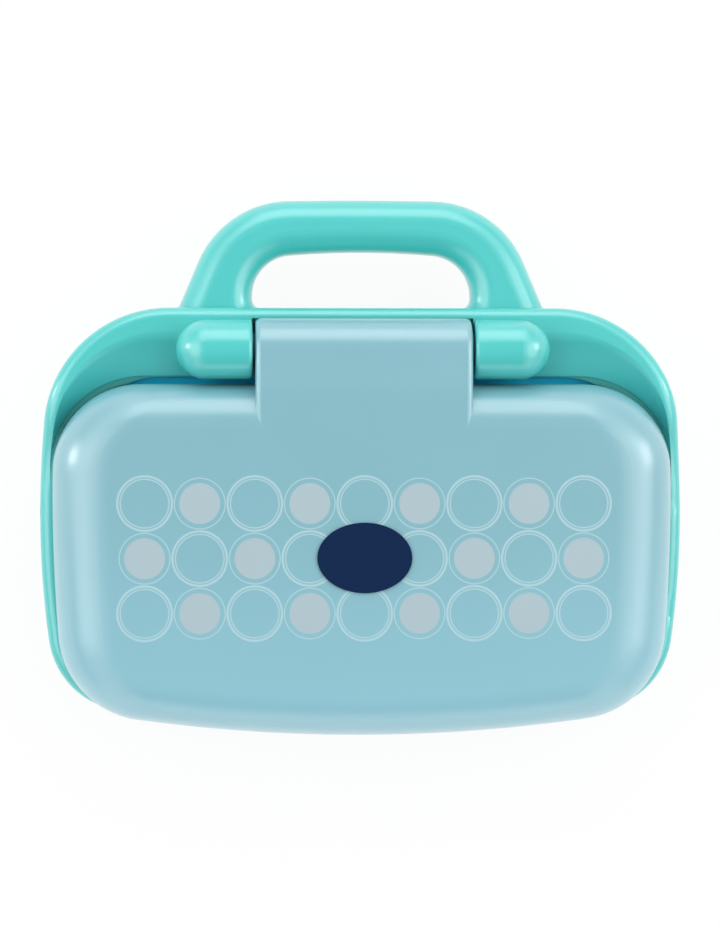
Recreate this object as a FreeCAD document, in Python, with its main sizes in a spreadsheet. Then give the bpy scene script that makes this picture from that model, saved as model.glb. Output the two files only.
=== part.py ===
import FreeCAD, Part
import math
import os
from collections import namedtuple
from types import SimpleNamespace

import PartDesign
import Sketcher
from FreeCAD import Placement, Rotation, Vector

# Toy laptop computer with a carrying handle, closed and lying on its four feet.
# X runs to the right, Y towards the handle, Z up.
# The origin lies on the floor under the middle of the overall box.

SIZES = {
    # overall plan
    "overall_depth": 208.0,
    "base_width": 250.0,
    "base_waist": 86.0,
    "base_side_radius": 359.0,
    "base_rear_corner": 48.5,
    "base_front_corner": 32.0,
    "base_bow": 578.0,
    "front_overhang": 1.4,
    "lid_length": 136.0,
    "lid_width": 239.6,
    "lid_waist": 94.0,
    "lid_side_radius": 680.0,
    "lid_rear_corner": 34.0,
    "lid_front_corner": 35.3,
    "lid_bow": 619.0,
    # heights of the base
    "foot_height": 1.8,
    "split_height": 27.0,
    "rim_height": 34.0,
    "rear_rim_height": 43.0,
    "wall": 2.4,
    "bottom_rounding": 14.0,
    "rim_rounding": 4.0,
    "ramp_start": 96.0,
    "ramp_run": 42.0,
    # dished ledge behind the lid
    "dish_margin": 1.2,
    "dish_side_margin": 1.6,
    "dish_rear_gap": 2.9,
    "dish_rear_rim": 6.6,
    "dish_crest": 0.25,
    "dish_floor_corner": 36.0,
    "dish_rim_corner": 46.0,
    # opening for the keyboard deck
    "side_ledge": 14.0,
    "front_ledge": 12.0,
    "deck_rear_corner": 32.0,
    "deck_flange": 2.5,
    "deck_thickness": 2.4,
    # carrying handle
    "handle_reach": 42.4,
    "handle_bar": 20.3,
    "handle_half_height": 10.2,
    "handle_rounding": 9.0,
    "handle_bow": 1450.0,
    "handle_corner": 39.0,
    "handle_lean": 23.0,
    "handle_foot_width": 154.6,
    "handle_foot_corner": 2.8,
    "handle_root": 14.0,
    "grip_width": 85.2,
    "grip_corner": 16.0,
    "grip_foot_corner": 4.0,
    "grip_bow": 330.0,
    # hinge
    "hinge_setback": 13.2,
    "barrel_radius": 12.1,
    "tab_width": 83.6,
    "tab_rounding": 2.4,
    "tab_clearance": 0.5,
    "tab_end_wall": 5.0,
    "tab_tongue": 6.0,
    "knuckle_gap": 1.0,
    "knuckle_radius": 11.5,
    "knuckle_length": 17.9,
    "knuckle_rounding": 1.6,
    "knuckle_post": 17.0,
    "knuckle_core_radius": 4.5,
    "pin_radius": 3.0,
    "pin_bore": 1.8,
    "pin_reach": 13.0,
    "pin_head_radius": 4.6,
    "pin_head": 1.5,
    "pin_fit": 0.03,
    "pin_running_fit": 0.06,
    "washer_radius": 6.5,
    "washer_thickness": 0.7,
    # lid shell and bezel
    "lid_gap": 0.4,
    "lid_height": 23.6,
    "lid_wall": 2.4,
    "lid_rounding": 17.0,
    "crown_start": 52.0,
    "crown_drop": 5.5,
    "bezel_recess": 0.8,
    "bezel_thickness": 2.4,
    "bezel_clearance": 0.2,
    "screen_setback": 66.0,
    "window_width": 128.0,
    "window_depth": 82.0,
    "window_corner": 8.0,
    "lens_lap": 2.0,
    "lens_thickness": 1.6,
    "lens_clearance": 0.15,
    "panel_lap": 3.0,
    "lcd_thickness": 2.4,
    "backlight_thickness": 3.6,
    "lid_board_width": 156.0,
    "lid_board_depth": 46.0,
    "lid_board_lift": 8.6,
    "lid_post_inset": 5.0,
    "lid_post_radius": 3.2,
    "lid_screw_side_x": 104.0,
    "lid_screw_side_setback": 84.0,
    "lid_screw_front_x": 97.0,
    "lid_screw_front_setback": 21.0,
    "lid_screw_rear_x": 62.0,
    "lid_screw_rear_setback": 121.0,
    "lid_screw_length": 9.0,
    "led_radius": 2.5,
    "led_spacing": 26.0,
    "bumper_radius": 2.6,
    "bumper_gap": 0.05,
    "bumper_x": 112.6,
    "bumper_rear_setback": 110.0,
    "bumper_front_setback": 48.0,
    "badge_width": 36.4,
    "badge_depth": 27.0,
    "badge_height": 0.7,
    "badge_setback": 69.1,
    # keys
    "key_width": 31.0,
    "key_depth": 23.0,
    "key_corner": 5.0,
    "key_pitch_x": 38.0,
    "key_pitch_y": 29.0,
    "key_rows_setback": 95.5,
    "key_rise": 2.6,
    "key_rounding": 1.4,
    "key_dish": 0.7,
    "key_dish_radius": 95.0,
    "key_clearance": 0.4,
    "key_flange": 1.2,
    "key_flange_thickness": 1.6,
    "key_rest_gap": 0.1,
    "key_travel": 1.5,
    "key_spare": 1.6,
    "front_row_setback": 42.0,
    "round_button_radius": 15.0,
    "round_button_spacing": 140.0,
    "pad_width": 60.0,
    "pad_depth": 40.0,
    "pad_corner": 8.0,
    # power slider
    "slider_x": 80.0,
    "slider_setback": 130.0,
    "slider_travel": 8.0,
    "slider_neck": 5.0,
    "slider_width": 4.6,
    "slider_cap_length": 10.0,
    "slider_cap_width": 7.4,
    "slider_cap_height": 2.0,
    "slider_foot": 1.2,
    "slider_clearance": 0.3,
    "switch_length": 19.0,
    "switch_width": 8.0,
    # electronics
    "board_thickness": 1.6,
    "board_width": 196.0,
    "board_front": 18.0,
    "board_rear": 136.0,
    "board_corner": 4.0,
    "membrane_thickness": 0.8,
    "membrane_rear": 121.0,
    "membrane_margin": 2.0,
    "dome_radius": 7.0,
    "dome_top_radius": 4.6,
    "dome_wall": 0.8,
    "deck_boss_radius": 2.4,
    "boss_rear_x": 50.0,
    "boss_rear_setback": 130.0,
    "boss_middle_x": 57.0,
    "boss_middle_setback": 65.8,
    "boss_front_x": 42.0,
    "boss_front_setback": 24.0,
    "small_screw_radius": 1.0,
    "small_screw_length": 5.0,
    "small_head_radius": 2.3,
    "small_head": 1.4,
    "screw_fit": 0.05,
    "hole_clearance": 0.35,
    # battery bay
    "bay_setback": 92.0,
    "bay_width": 42.0,
    "bay_wall": 1.6,
    "door_lap": 1.2,
    "door_clearance": 0.3,
    "door_corner": 3.0,
    "cell_radius": 7.15,
    "cell_length": 49.2,
    "cell_nub_radius": 2.7,
    "cell_nub": 1.3,
    "cell_pitch": 15.2,
    "cell_offset": 3.2,
    "cell_clearance": 0.3,
    "contact_thickness": 0.5,
    "contact_button": 1.0,
    "contact_leaf": 4.0,
    "contact_size": 10.0,
    "door_screw_offset": 16.5,
    "door_post_radius": 3.4,
    "door_screw_length": 8.0,
    # speaker
    "speaker_x": 78.0,
    "speaker_setback": 66.0,
    "speaker_radius": 20.0,
    "speaker_flange": 1.6,
    "speaker_depth": 7.2,
    "speaker_back_radius": 12.0,
    "speaker_sheet": 1.2,
    "speaker_rim": 3.6,
    "cone_sheet": 0.5,
    "magnet_radius": 10.5,
    "magnet_height": 5.6,
    "speaker_clearance": 0.3,
    "grille_hole": 1.5,
    "grille_pitch": 5.0,
    "clip_post_radius": 2.8,
    "clip_post_distance": 23.4,
    "clip_head_radius": 4.2,
    "clip_screw_length": 3.5,
    # case screws, posts and feet
    "boss_radius": 3.2,
    "boss_split": 14.0,
    "boss_bite": 1.6,
    "rear_screw_x": 88.0,
    "rear_boss_rise": 9.6,
    "side_screw_inset": 7.4,
    "side_screw_setback": 74.0,
    "front_screw_x": 70.0,
    "front_screw_inset": 10.15,
    "screw_radius": 1.5,
    "screw_length": 16.0,
    "head_radius": 3.0,
    "head_height": 2.2,
    "head_seat": 8.0,
    "post_radius": 3.2,
    "post_x": 105.0,
    "post_rear_setback": 124.0,
    "post_front_setback": 44.0,
    "foot_rear_x": 86.0,
    "foot_rear_setback": 138.0,
    "foot_front_x": 84.0,
    "foot_front_setback": 32.0,
    "foot_radius": 7.0,
    "foot_recess": 1.0,
    "chip_x": 66.0,
    "chip_setback": 50.0,
    "chip_radius": 9.0,
    "chip_height": 1.6,
    "capacitor_radius": 2.5,
    "capacitor_length": 7.0,
    "socket_width": 8.0,
    "socket_depth": 6.0,
    "socket_height": 4.4,
    "socket_setback": 134.0,
    "lid_cable_x": 24.0,
    "lead_reach": 9.0,
    "lead_bend": 3.6,
    "lead_radius": 0.8,
    "cable_radius": 1.2,
    "cable_bend": 5.0,
}

LEFT_TURN = 1
RIGHT_TURN = -1
START = 1
END = 2
CENTRE = 3
ORIGIN = (-1, 1)
VERTICAL_AXIS = -2
HAIR = 1e-4
ALONG_X = Rotation(Vector(0, 1, 0), 90)
SLOT_REACH = 0.6
SLOT_HALF_WIDTH = 0.14
RESIN_ROUNDING = 0.8
LEAF_FOOT = 0.9
LEDGE_CURVE = ((0, 0), (0.64, 0.8085), (0.686, 0.861), (0.734, 0.9045), (0.784, 0.939), (0.835, 0.9635),
               (0.8865, 0.9783), (1, 1))
Bend = namedtuple("Bend", "radius turn")


class Size:
    """A number together with the formula on the sheet's cells that gives it."""

    def __init__(self, number, text):
        self.number = number
        self.text = text

    def _joined(self, sign, other, number):
        return Size(number, f"({self.text} {sign} {other.text})")

    def __add__(self, other):
        other = size(other)
        return self._joined("+", other, self.number + other.number)

    def __sub__(self, other):
        other = size(other)
        return self._joined("-", other, self.number - other.number)

    def __mul__(self, other):
        other = size(other)
        return self._joined("*", other, self.number * other.number)

    def __truediv__(self, other):
        other = size(other)
        return self._joined("/", other, self.number / other.number)

    def __neg__(self):
        return Size(-self.number, f"(0 - {self.text})")

    def __radd__(self, other):
        return size(other) + self

    def __rsub__(self, other):
        return size(other) - self

    def __rmul__(self, other):
        return size(other) * self


def size(amount):
    """A plain number or a Size, as a Size."""
    if isinstance(amount, Size):
        return amount
    return Size(float(amount), str(float(amount)))


def cosine(angle):
    """Cosine of an angle in degrees."""
    return Size(math.cos(math.radians(angle.number)), f"cos({angle.text})")


def tangent(angle):
    """Tangent of an angle in degrees."""
    return Size(math.tan(math.radians(angle.number)), f"tan({angle.text})")


doc = FreeCAD.newDocument("toy_laptop")
sheet = doc.addObject("Spreadsheet::Sheet", "sizes")
for row, (alias, amount) in enumerate(SIZES.items(), start=1):
    sheet.set(f"A{row}", alias)
    sheet.set(f"B{row}", str(amount))
    sheet.setAlias(f"B{row}", alias)
doc.recompute()
s = SimpleNamespace(**{alias: Size(float(sheet.get(alias)), f"sizes.{alias}") for alias in SIZES})


# Helpers for primitives and booleans

def bind(item, path, amount):
    item.setExpression(path, size(amount).text)


def place(item, corner, turn=None):
    """Put an item at a corner given as three sizes, turned by a rotation."""
    point = Vector(*(size(part).number for part in corner))
    item.Placement = Placement(point, turn or Rotation())
    for axis, part in zip("xyz", corner):
        bind(item, f"Placement.Base.{axis}", part)


def box(name, low, high):
    """Block between two opposite corners."""
    item = doc.addObject("Part::Box", name)
    for side, low_end, high_end in zip(("Length", "Width", "Height"), low, high):
        bind(item, side, size(high_end) - low_end)
    place(item, low)
    return item


def rod(name, start, radius, length, turn=None):
    """Round bar that stands on its start point, or runs the way it is turned."""
    item = doc.addObject("Part::Cylinder", name)
    bind(item, "Radius", radius)
    bind(item, "Height", length)
    place(item, start, turn)
    return item


def taper(name, start, low_radius, high_radius, height):
    item = doc.addObject("Part::Cone", name)
    bind(item, "Radius1", low_radius)
    bind(item, "Radius2", high_radius)
    bind(item, "Height", height)
    place(item, start)
    return item


def ball(name, centre, radius):
    item = doc.addObject("Part::Sphere", name)
    bind(item, "Radius", radius)
    place(item, centre)
    return item


def fuse(name, *items):
    item = doc.addObject("Part::MultiFuse", name)
    item.Shapes = list(items)
    return item


def cut(name, base, *tools):
    item = doc.addObject("Part::Cut", name)
    item.Base = base
    item.Tool = tools[0] if len(tools) == 1 else fuse(f"{name}_tools", *tools)
    return item


def common(name, first, second):
    item = doc.addObject("Part::Common", name)
    item.Base = first
    item.Tool = second
    return item


def group(name, items):
    """Separate solids of one node."""
    item = doc.addObject("Part::Compound", name)
    item.Links = list(items)
    return item


def mirrored(name, item, normal, height=None):
    """Copy of an item mirrored in a plane through the origin or at a height."""
    copy = doc.addObject("Part::Mirroring", name)
    copy.Source = item
    copy.Normal = normal
    if height is not None:
        bind(copy, "Base.z", height)
    return copy


# Helpers for sketches and bodies

def fix(sketch, kind, *terms):
    """Dimension on a sketch, bound to the cells; the last term is its size, in mm or degrees."""
    amount = size(terms[-1])
    number = math.radians(amount.number) if kind == "Angle" else amount.number
    index = sketch.addConstraint(Sketcher.Constraint(kind, *terms[:-1], number))
    bind(sketch, f"Constraints[{index}]", amount)


def fix_point(sketch, edge, end, x, y):
    fix(sketch, "DistanceX", *ORIGIN, edge, end, x)
    fix(sketch, "DistanceY", *ORIGIN, edge, end, y)


def arc(centre, radius, first, last):
    return Part.ArcOfCircle(Part.Circle(centre, Vector(0, 0, 1), radius), first, last)


def other_side(point):
    return Vector(-point.x, point.y, 0)


def heading(start, finish):
    return math.atan2(finish.y - start.y, finish.x - start.x)


def draw_profile(sketch, corners, bends=None):
    """Closed outline through corners, with a bend on each edge that is an arc."""
    bends = bends or {}
    points = [Vector(size(x).number, size(y).number, 0) for x, y in corners]
    edges = []
    for index, start in enumerate(points):
        finish = points[(index + 1) % len(points)]
        if index not in bends:
            edges.append((sketch.addGeometry(Part.LineSegment(start, finish), False), START, END))
            continue
        bend = bends[index]
        radius = size(bend.radius).number
        chord = finish - start
        rise = math.sqrt(max(radius ** 2 - (chord.Length / 2) ** 2, 0))
        inward = Vector(-chord.y, chord.x, 0).normalize() * bend.turn
        centre = (start + finish) / 2 + inward * rise
        first, last = (start, finish) if bend.turn == LEFT_TURN else (finish, start)
        curve = arc(centre, radius, heading(centre, first), heading(centre, last))
        ends = (START, END) if bend.turn == LEFT_TURN else (END, START)
        edges.append((sketch.addGeometry(curve, False), *ends))
    for index, (edge, start_end, finish_end) in enumerate(edges):
        following, following_start, _ = edges[(index + 1) % len(edges)]
        sketch.addConstraint(Sketcher.Constraint("Coincident", edge, finish_end, following, following_start))
        fix_point(sketch, edge, start_end, *corners[index])
        if index in bends:
            fix(sketch, "Radius", edge, bends[index].radius)


def rounded(x, y, width, depth, radius):
    """Rectangle with rounded corners about a middle point."""
    left = x - width / 2
    right = x + width / 2
    low = y - depth / 2
    high = y + depth / 2
    corners = [
        (left + radius, low), (right - radius, low), (right, low + radius), (right, high - radius),
        (right - radius, high), (left + radius, high), (left, high - radius), (left, low + radius),
    ]
    bends = {index: Bend(radius, LEFT_TURN) for index in (1, 3, 5, 7)}
    return lambda sketch: draw_profile(sketch, corners, bends)


def disc(x, y, radius):
    """Circle about a middle point."""
    def draw(sketch):
        middle = Vector(size(x).number, size(y).number, 0)
        circle = sketch.addGeometry(Part.Circle(middle, Vector(0, 0, 1), size(radius).number), False)
        fix_point(sketch, circle, CENTRE, x, y)
        fix(sketch, "Radius", circle, radius)
    return draw


def profile(corners, bends=None):
    return lambda sketch: draw_profile(sketch, corners, bends)


def chain(sketch, curves, corners=(), backward=()):
    """Closed run of curves, tangent to each other except at the listed joints; some run backward."""
    edges = [sketch.addGeometry(curve, False) for curve in curves]
    for index, edge in enumerate(edges):
        kind = "Coincident" if index in corners else "Tangent"
        after = (index + 1) % len(edges)
        last = START if index in backward else END
        first = END if after in backward else START
        sketch.addConstraint(Sketcher.Constraint(kind, edge, last, edges[after], first))
    return edges


def pair(sketch, first, second, radius):
    """Two arcs of one radius."""
    fix(sketch, "Radius", first, radius)
    sketch.addConstraint(Sketcher.Constraint("Equal", first, second))


def new_sketch(body, plane, name, draw, lift=None):
    """Sketch on one of a body's own origin planes, lifted along the plane's normal."""
    sketch = body.newObject("Sketcher::SketchObject", name)
    support = next(item for item in body.Origin.OriginFeatures if item.Role == plane)
    sketch.AttachmentSupport = (support, [""])
    sketch.MapMode = "FlatFace"
    if lift is not None:
        bind(sketch, "AttachmentOffset.Base.z", lift)
    draw(sketch)
    return sketch


def plate(name, draw, low, high):
    """Body with one plan outline padded between two heights."""
    body = doc.addObject("PartDesign::Body", name)
    pad = body.newObject("PartDesign::Pad", f"{name}_pad")
    pad.Profile = new_sketch(body, "XY_Plane", f"{name}_outline", draw, low)
    bind(pad, "Length", size(high) - low)
    doc.recompute()
    return body


def bar(name, draw, length):
    """Body with one side profile, in Y and Z, padded evenly to both sides of the middle."""
    body = doc.addObject("PartDesign::Body", name)
    pad = body.newObject("PartDesign::Pad", f"{name}_pad")
    pad.Profile = new_sketch(body, "YZ_Plane", f"{name}_profile", draw)
    pad.SideType = "Symmetric"
    bind(pad, "Length", length)
    doc.recompute()
    return body


def trim(body, draw, length):
    """Remove a side profile, in Y and Z, right across a body."""
    pocket = body.newObject("PartDesign::Pocket", f"{body.Name}_trim")
    pocket.Profile = new_sketch(body, "YZ_Plane", f"{body.Name}_trim_profile", draw)
    pocket.SideType = "Symmetric"
    bind(pocket, "Length", length)
    doc.recompute()


def round_edges(body, radius, wanted):
    """Round the edges of a body that pass a test."""
    feature = body.Tip
    names = [f"Edge{number}" for number, edge in enumerate(feature.Shape.Edges, start=1) if wanted(edge)]
    fillet = body.newObject("PartDesign::Fillet", f"{body.Name}_round")
    fillet.Base = (feature, names)
    bind(fillet, "Radius", radius)
    doc.recompute()


def lowest_edges(body):
    floor = body.Shape.BoundBox.ZMin
    return lambda edge: edge.BoundBox.ZMax < floor + HAIR


def highest_edges(body):
    top = body.Shape.BoundBox.ZMax
    return lambda edge: edge.BoundBox.ZMin > top - HAIR


def upper_outline(body):
    """Edges round the top of a body, without the seams that run across it."""
    bounds = body.Shape.BoundBox

    def wanted(edge):
        reach = edge.BoundBox
        straight_across = reach.YLength < HAIR and reach.ZLength < HAIR
        seam = straight_across and reach.YMax < bounds.YMax - HAIR
        return reach.ZMin > bounds.ZMin + HAIR and not seam
    return wanted


class CaseOutline:
    """Plan of a case: straight rear edge, bowed sides and front, four rounded corners."""

    def __init__(self, half_width, waist, side_radius, rear, rear_corner, front, front_corner, bow):
        self.half_width = half_width
        self.waist = waist
        self.side_radius = side_radius
        self.rear = rear
        self.rear_corner = rear_corner
        self.front = front
        self.front_corner = front_corner
        self.bow = bow

    def inset(self, gap):
        """The same outline, smaller by a gap all round."""
        return CaseOutline(self.half_width - gap, self.waist, self.side_radius - gap, self.rear - gap,
                           self.rear_corner - gap, self.front + gap, self.front_corner - gap, self.bow - gap)

    def towards(self, other, share):
        """Outline part of the way from this one to another."""
        pairs = zip(vars(self).values(), vars(other).values())
        return CaseOutline(*(first + (second - first) * share for first, second in pairs))

    def __call__(self, sketch):
        """Draw the outline, with every dimension bound to the cells."""
        side_x = self.half_width - self.side_radius
        bow_y = self.front + self.bow
        side = Vector(side_x.number, self.waist.number, 0)
        bow = Vector(0, bow_y.number, 0)
        side_radius = self.side_radius.number
        rear_corner = self.rear_corner.number
        front_corner = self.front_corner.number
        bow_radius = self.bow.number
        rear_y = self.rear.number - rear_corner
        rear_x = side.x + math.sqrt((side_radius - rear_corner) ** 2 - (rear_y - side.y) ** 2)
        rear = Vector(rear_x, rear_y, 0)
        front = self._meeting(side, side_radius - front_corner, bow, bow_radius - front_corner)
        up = math.pi / 2
        rear_turn = heading(side, rear)
        front_turn = heading(side, front)
        bow_turn = heading(bow, front)
        flip = math.pi
        curves = [
            Part.LineSegment(Vector(rear.x, self.rear.number, 0), Vector(-rear.x, self.rear.number, 0)),
            arc(other_side(rear), rear_corner, up, flip - rear_turn),
            arc(other_side(side), side_radius, flip - rear_turn, flip - front_turn),
            arc(other_side(front), front_corner, flip - front_turn, flip - bow_turn),
            arc(bow, bow_radius, flip - bow_turn, 2 * flip + bow_turn),
            arc(front, front_corner, bow_turn, front_turn),
            arc(side, side_radius, front_turn, rear_turn),
            arc(rear, rear_corner, rear_turn, up),
        ]
        back, rear_left, left, front_left, nose, front_right, right, rear_right = chain(sketch, curves)
        sketch.addConstraint(Sketcher.Constraint("Horizontal", back))
        sketch.addConstraint(Sketcher.Constraint("PointOnObject", nose, CENTRE, VERTICAL_AXIS))
        pair(sketch, rear_right, rear_left, self.rear_corner)
        pair(sketch, right, left, self.side_radius)
        pair(sketch, front_right, front_left, self.front_corner)
        fix(sketch, "Radius", nose, self.bow)
        fix(sketch, "DistanceY", *ORIGIN, back, START, self.rear)
        fix(sketch, "DistanceY", *ORIGIN, nose, CENTRE, bow_y)
        fix_point(sketch, right, CENTRE, side_x, self.waist)
        fix_point(sketch, left, CENTRE, -side_x, self.waist)

    @staticmethod
    def _meeting(first, first_reach, second, second_reach):
        """Right-hand point at given distances from two others."""
        span = second - first
        along = (first_reach ** 2 - second_reach ** 2 + span.Length ** 2) / (2 * span.Length)
        aside = math.sqrt(first_reach ** 2 - along ** 2)
        direction = Vector(span).normalize()
        return first + direction * along + Vector(direction.y, -direction.x, 0) * aside


class HandleOutline:
    """Plan of the handle: a bowed bar on two leaning legs round a finger gap."""

    def __init__(self, inset=0):
        inset = size(inset)
        self.top = handle_top - inset
        self.bow = s.handle_bow - inset
        self.corner = s.handle_corner - inset
        self.root = base_rear - s.handle_root + inset
        self.foot_corner = s.handle_foot_corner + inset
        self.foot_x = (s.handle_foot_width / 2 + s.handle_foot_corner / cosine(s.handle_lean)
                       - (s.handle_root + s.handle_foot_corner) * tangent(s.handle_lean))
        self.foot_y = base_rear + s.handle_foot_corner
        self.gap_half = s.grip_width / 2 + inset
        self.gap_top = handle_top - s.handle_bar + inset
        self.gap_corner = s.grip_corner + inset
        self.gap_foot = base_rear - inset
        self.gap_foot_corner = s.grip_foot_corner + inset
        self.gap_bow = s.grip_bow + inset

    def __call__(self, sketch):
        """Draw the outer edge and the finger gap."""
        self._outer(sketch)
        self._gap(sketch)

    def _outer(self, sketch):
        lean = math.radians(s.handle_lean.number)
        radius = self.corner.number
        bow_radius = self.bow.number
        bow = Vector(0, self.top.number - bow_radius, 0)
        foot_radius = self.foot_corner.number
        foot = Vector(self.foot_x.number, self.foot_y.number, 0)
        wall = foot - Vector(0, foot_radius, 0)
        root = Vector(foot.x, self.root.number, 0)
        along = Vector(-math.sin(lean), math.cos(lean), 0)
        inward = Vector(-math.cos(lean), -math.sin(lean), 0)
        leg = foot + inward * foot_radius
        start = leg + inward * radius - bow
        ahead = start.dot(along)
        reach = (bow_radius - radius) ** 2 - start.dot(start) + ahead ** 2
        middle = bow + start + along * (math.sqrt(reach) - ahead)
        shoulder = middle - inward * radius
        turn = heading(bow, middle)
        curves = [
            Part.LineSegment(leg, shoulder),
            arc(middle, radius, lean, turn),
            arc(bow, bow_radius, turn, math.pi - turn),
            arc(other_side(middle), radius, math.pi - turn, math.pi - lean),
            Part.LineSegment(other_side(shoulder), other_side(leg)),
            arc(other_side(foot), foot_radius, -math.pi / 2, -lean),
            Part.LineSegment(other_side(wall), other_side(root)),
            Part.LineSegment(other_side(root), root),
            Part.LineSegment(root, wall),
            arc(foot, foot_radius, math.pi + lean, 1.5 * math.pi),
        ]
        edges = chain(sketch, curves, corners=(5, 6, 7, 8), backward=(5, 9))
        right_leg, right, top, left, left_leg, left_foot, left_side, bottom, right_side, right_foot = edges
        sketch.addConstraint(Sketcher.Constraint("PointOnObject", top, CENTRE, VERTICAL_AXIS))
        fix(sketch, "DistanceY", *ORIGIN, top, CENTRE, self.top - self.bow)
        fix(sketch, "Radius", top, self.bow)
        pair(sketch, right, left, self.corner)
        pair(sketch, right_foot, left_foot, self.foot_corner)
        fix_point(sketch, right_foot, CENTRE, self.foot_x, self.foot_y)
        fix_point(sketch, left_foot, CENTRE, -self.foot_x, self.foot_y)
        fix_point(sketch, right_side, START, self.foot_x, self.root)
        fix_point(sketch, bottom, START, -self.foot_x, self.root)
        for side in (left_side, right_side):
            sketch.addConstraint(Sketcher.Constraint("Vertical", side))
        fix(sketch, "Angle", right_leg, 90 + s.handle_lean)
        sketch.addConstraint(Sketcher.Constraint("Equal", right_leg, left_leg))

    def _gap(self, sketch):
        half = self.gap_half.number
        top_radius = self.gap_corner.number
        foot_radius = self.gap_foot_corner.number
        bow_radius = self.gap_bow.number
        bow = Vector(0, self.gap_top.number - bow_radius, 0)
        corner_x = half - top_radius
        corner = Vector(corner_x, bow.y + math.sqrt((bow_radius - top_radius) ** 2 - corner_x ** 2), 0)
        low = self.gap_foot.number
        foot = Vector(half - foot_radius, low + foot_radius, 0)
        turn = heading(bow, corner)
        up = math.pi / 2
        curves = [
            Part.LineSegment(Vector(-foot.x, low, 0), Vector(foot.x, low, 0)),
            arc(foot, foot_radius, -up, 0),
            Part.LineSegment(Vector(half, foot.y, 0), Vector(half, corner.y, 0)),
            arc(corner, top_radius, 0, turn),
            arc(bow, bow_radius, turn, math.pi - turn),
            arc(other_side(corner), top_radius, math.pi - turn, math.pi),
            Part.LineSegment(Vector(-half, corner.y, 0), Vector(-half, foot.y, 0)),
            arc(other_side(foot), foot_radius, math.pi, math.pi + up),
        ]
        bottom, right_foot, right, right_top, top, left_top, left, left_foot = chain(sketch, curves)
        for edge, kind in ((bottom, "Horizontal"), (right, "Vertical"), (left, "Vertical")):
            sketch.addConstraint(Sketcher.Constraint(kind, edge))
        fix(sketch, "DistanceY", *ORIGIN, bottom, START, self.gap_foot)
        fix(sketch, "DistanceX", *ORIGIN, right, START, self.gap_half)
        fix(sketch, "DistanceX", *ORIGIN, left, START, -self.gap_half)
        pair(sketch, right_foot, left_foot, self.gap_foot_corner)
        pair(sketch, right_top, left_top, self.gap_corner)
        sketch.addConstraint(Sketcher.Constraint("PointOnObject", top, CENTRE, VERTICAL_AXIS))
        fix(sketch, "Radius", top, self.gap_bow)
        fix(sketch, "DistanceY", *ORIGIN, top, CENTRE, self.gap_top - self.gap_bow)


# Places worked out from the sizes

front = -s.overall_depth / 2
handle_top = s.overall_depth / 2
base_rear = handle_top - s.handle_reach
base_front = front + s.front_overhang
lid_rear = front + s.lid_length
hinge_y = lid_rear + s.hinge_setback
lid_bottom = s.rim_height + s.lid_gap
lid_top = lid_bottom + s.lid_height
hinge_z = lid_top - s.barrel_radius
floor = s.foot_height + s.wall
deck_top = s.rim_height - s.wall
deck_low = deck_top - s.deck_thickness
key_low = deck_low - s.key_rest_gap
flange_low = key_low - s.key_flange_thickness
board_top = flange_low - s.key_travel - s.key_spare - s.membrane_thickness
board_low = board_top - s.board_thickness
deck_rear = lid_rear + s.dish_rear_gap
tab_half = s.tab_width / 2
knuckle_face = tab_half + s.knuckle_gap
knuckle_end = knuckle_face + s.knuckle_length
wide = s.base_width * 2

base_plan = CaseOutline(s.base_width / 2, front + s.base_waist, s.base_side_radius, base_rear,
                        s.base_rear_corner, base_front, s.base_front_corner, s.base_bow)
lid_plan = CaseOutline(s.lid_width / 2, front + s.lid_waist, s.lid_side_radius, lid_rear,
                       s.lid_rear_corner, front, s.lid_front_corner, s.lid_bow)
deck_plan = CaseOutline(s.base_width / 2 - s.side_ledge, front + s.base_waist,
                        s.base_side_radius - s.side_ledge, deck_rear, s.deck_rear_corner,
                        base_front + s.front_ledge, s.base_front_corner - s.front_ledge / 2,
                        s.base_bow - s.front_ledge)
dish_half = s.lid_width / 2 + s.dish_margin
dish_floor = CaseOutline(dish_half, front + s.lid_waist, s.lid_side_radius, deck_rear,
                         s.dish_floor_corner, front - s.dish_margin, s.lid_front_corner, s.lid_bow)
dish_rim = CaseOutline(dish_half + s.dish_side_margin - s.dish_margin, front + s.lid_waist, s.lid_side_radius,
                       base_rear - s.dish_rear_rim, s.dish_rim_corner, front - s.dish_side_margin,
                       s.lid_front_corner, s.lid_bow)

# Handle, moulded in halves with the two cases

def handle_half():
    """Upper half of the handle outside the rear wall, and the hollow inside it."""
    rise = s.split_height + s.handle_half_height
    outer = plate("handle_outer", HandleOutline(), s.split_height, rise)
    round_edges(outer, s.handle_rounding, gap_and_bar_edges(outer))
    inner = plate("handle_inner", HandleOutline(s.wall), s.split_height, rise - s.wall)
    round_edges(inner, s.handle_rounding - s.wall, gap_and_bar_edges(inner))
    inside = box("handle_inside", (-wide / 2, front, s.split_height), (wide / 2, base_rear - s.wall, rise))
    behind = box("handle_behind", (-wide / 2, front, s.split_height), (wide / 2, base_rear, rise))
    return cut("handle_shell", outer, inside), cut("handle_hollow", inner, behind)


def gap_and_bar_edges(body):
    """Top edges of the handle, without those of its hidden root."""
    root = body.Shape.BoundBox.YMin
    top = highest_edges(body)
    return lambda edge: top(edge) and edge.BoundBox.YMin > root + HAIR


handle_shell, handle_hollow = handle_half()
lower_handle_shell = mirrored("lower_handle_shell", handle_shell, Vector(0, 0, 1), s.split_height)
lower_handle_hollow = mirrored("lower_handle_hollow", handle_hollow, Vector(0, 0, 1), s.split_height)


# Spots that several pieces share

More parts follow.
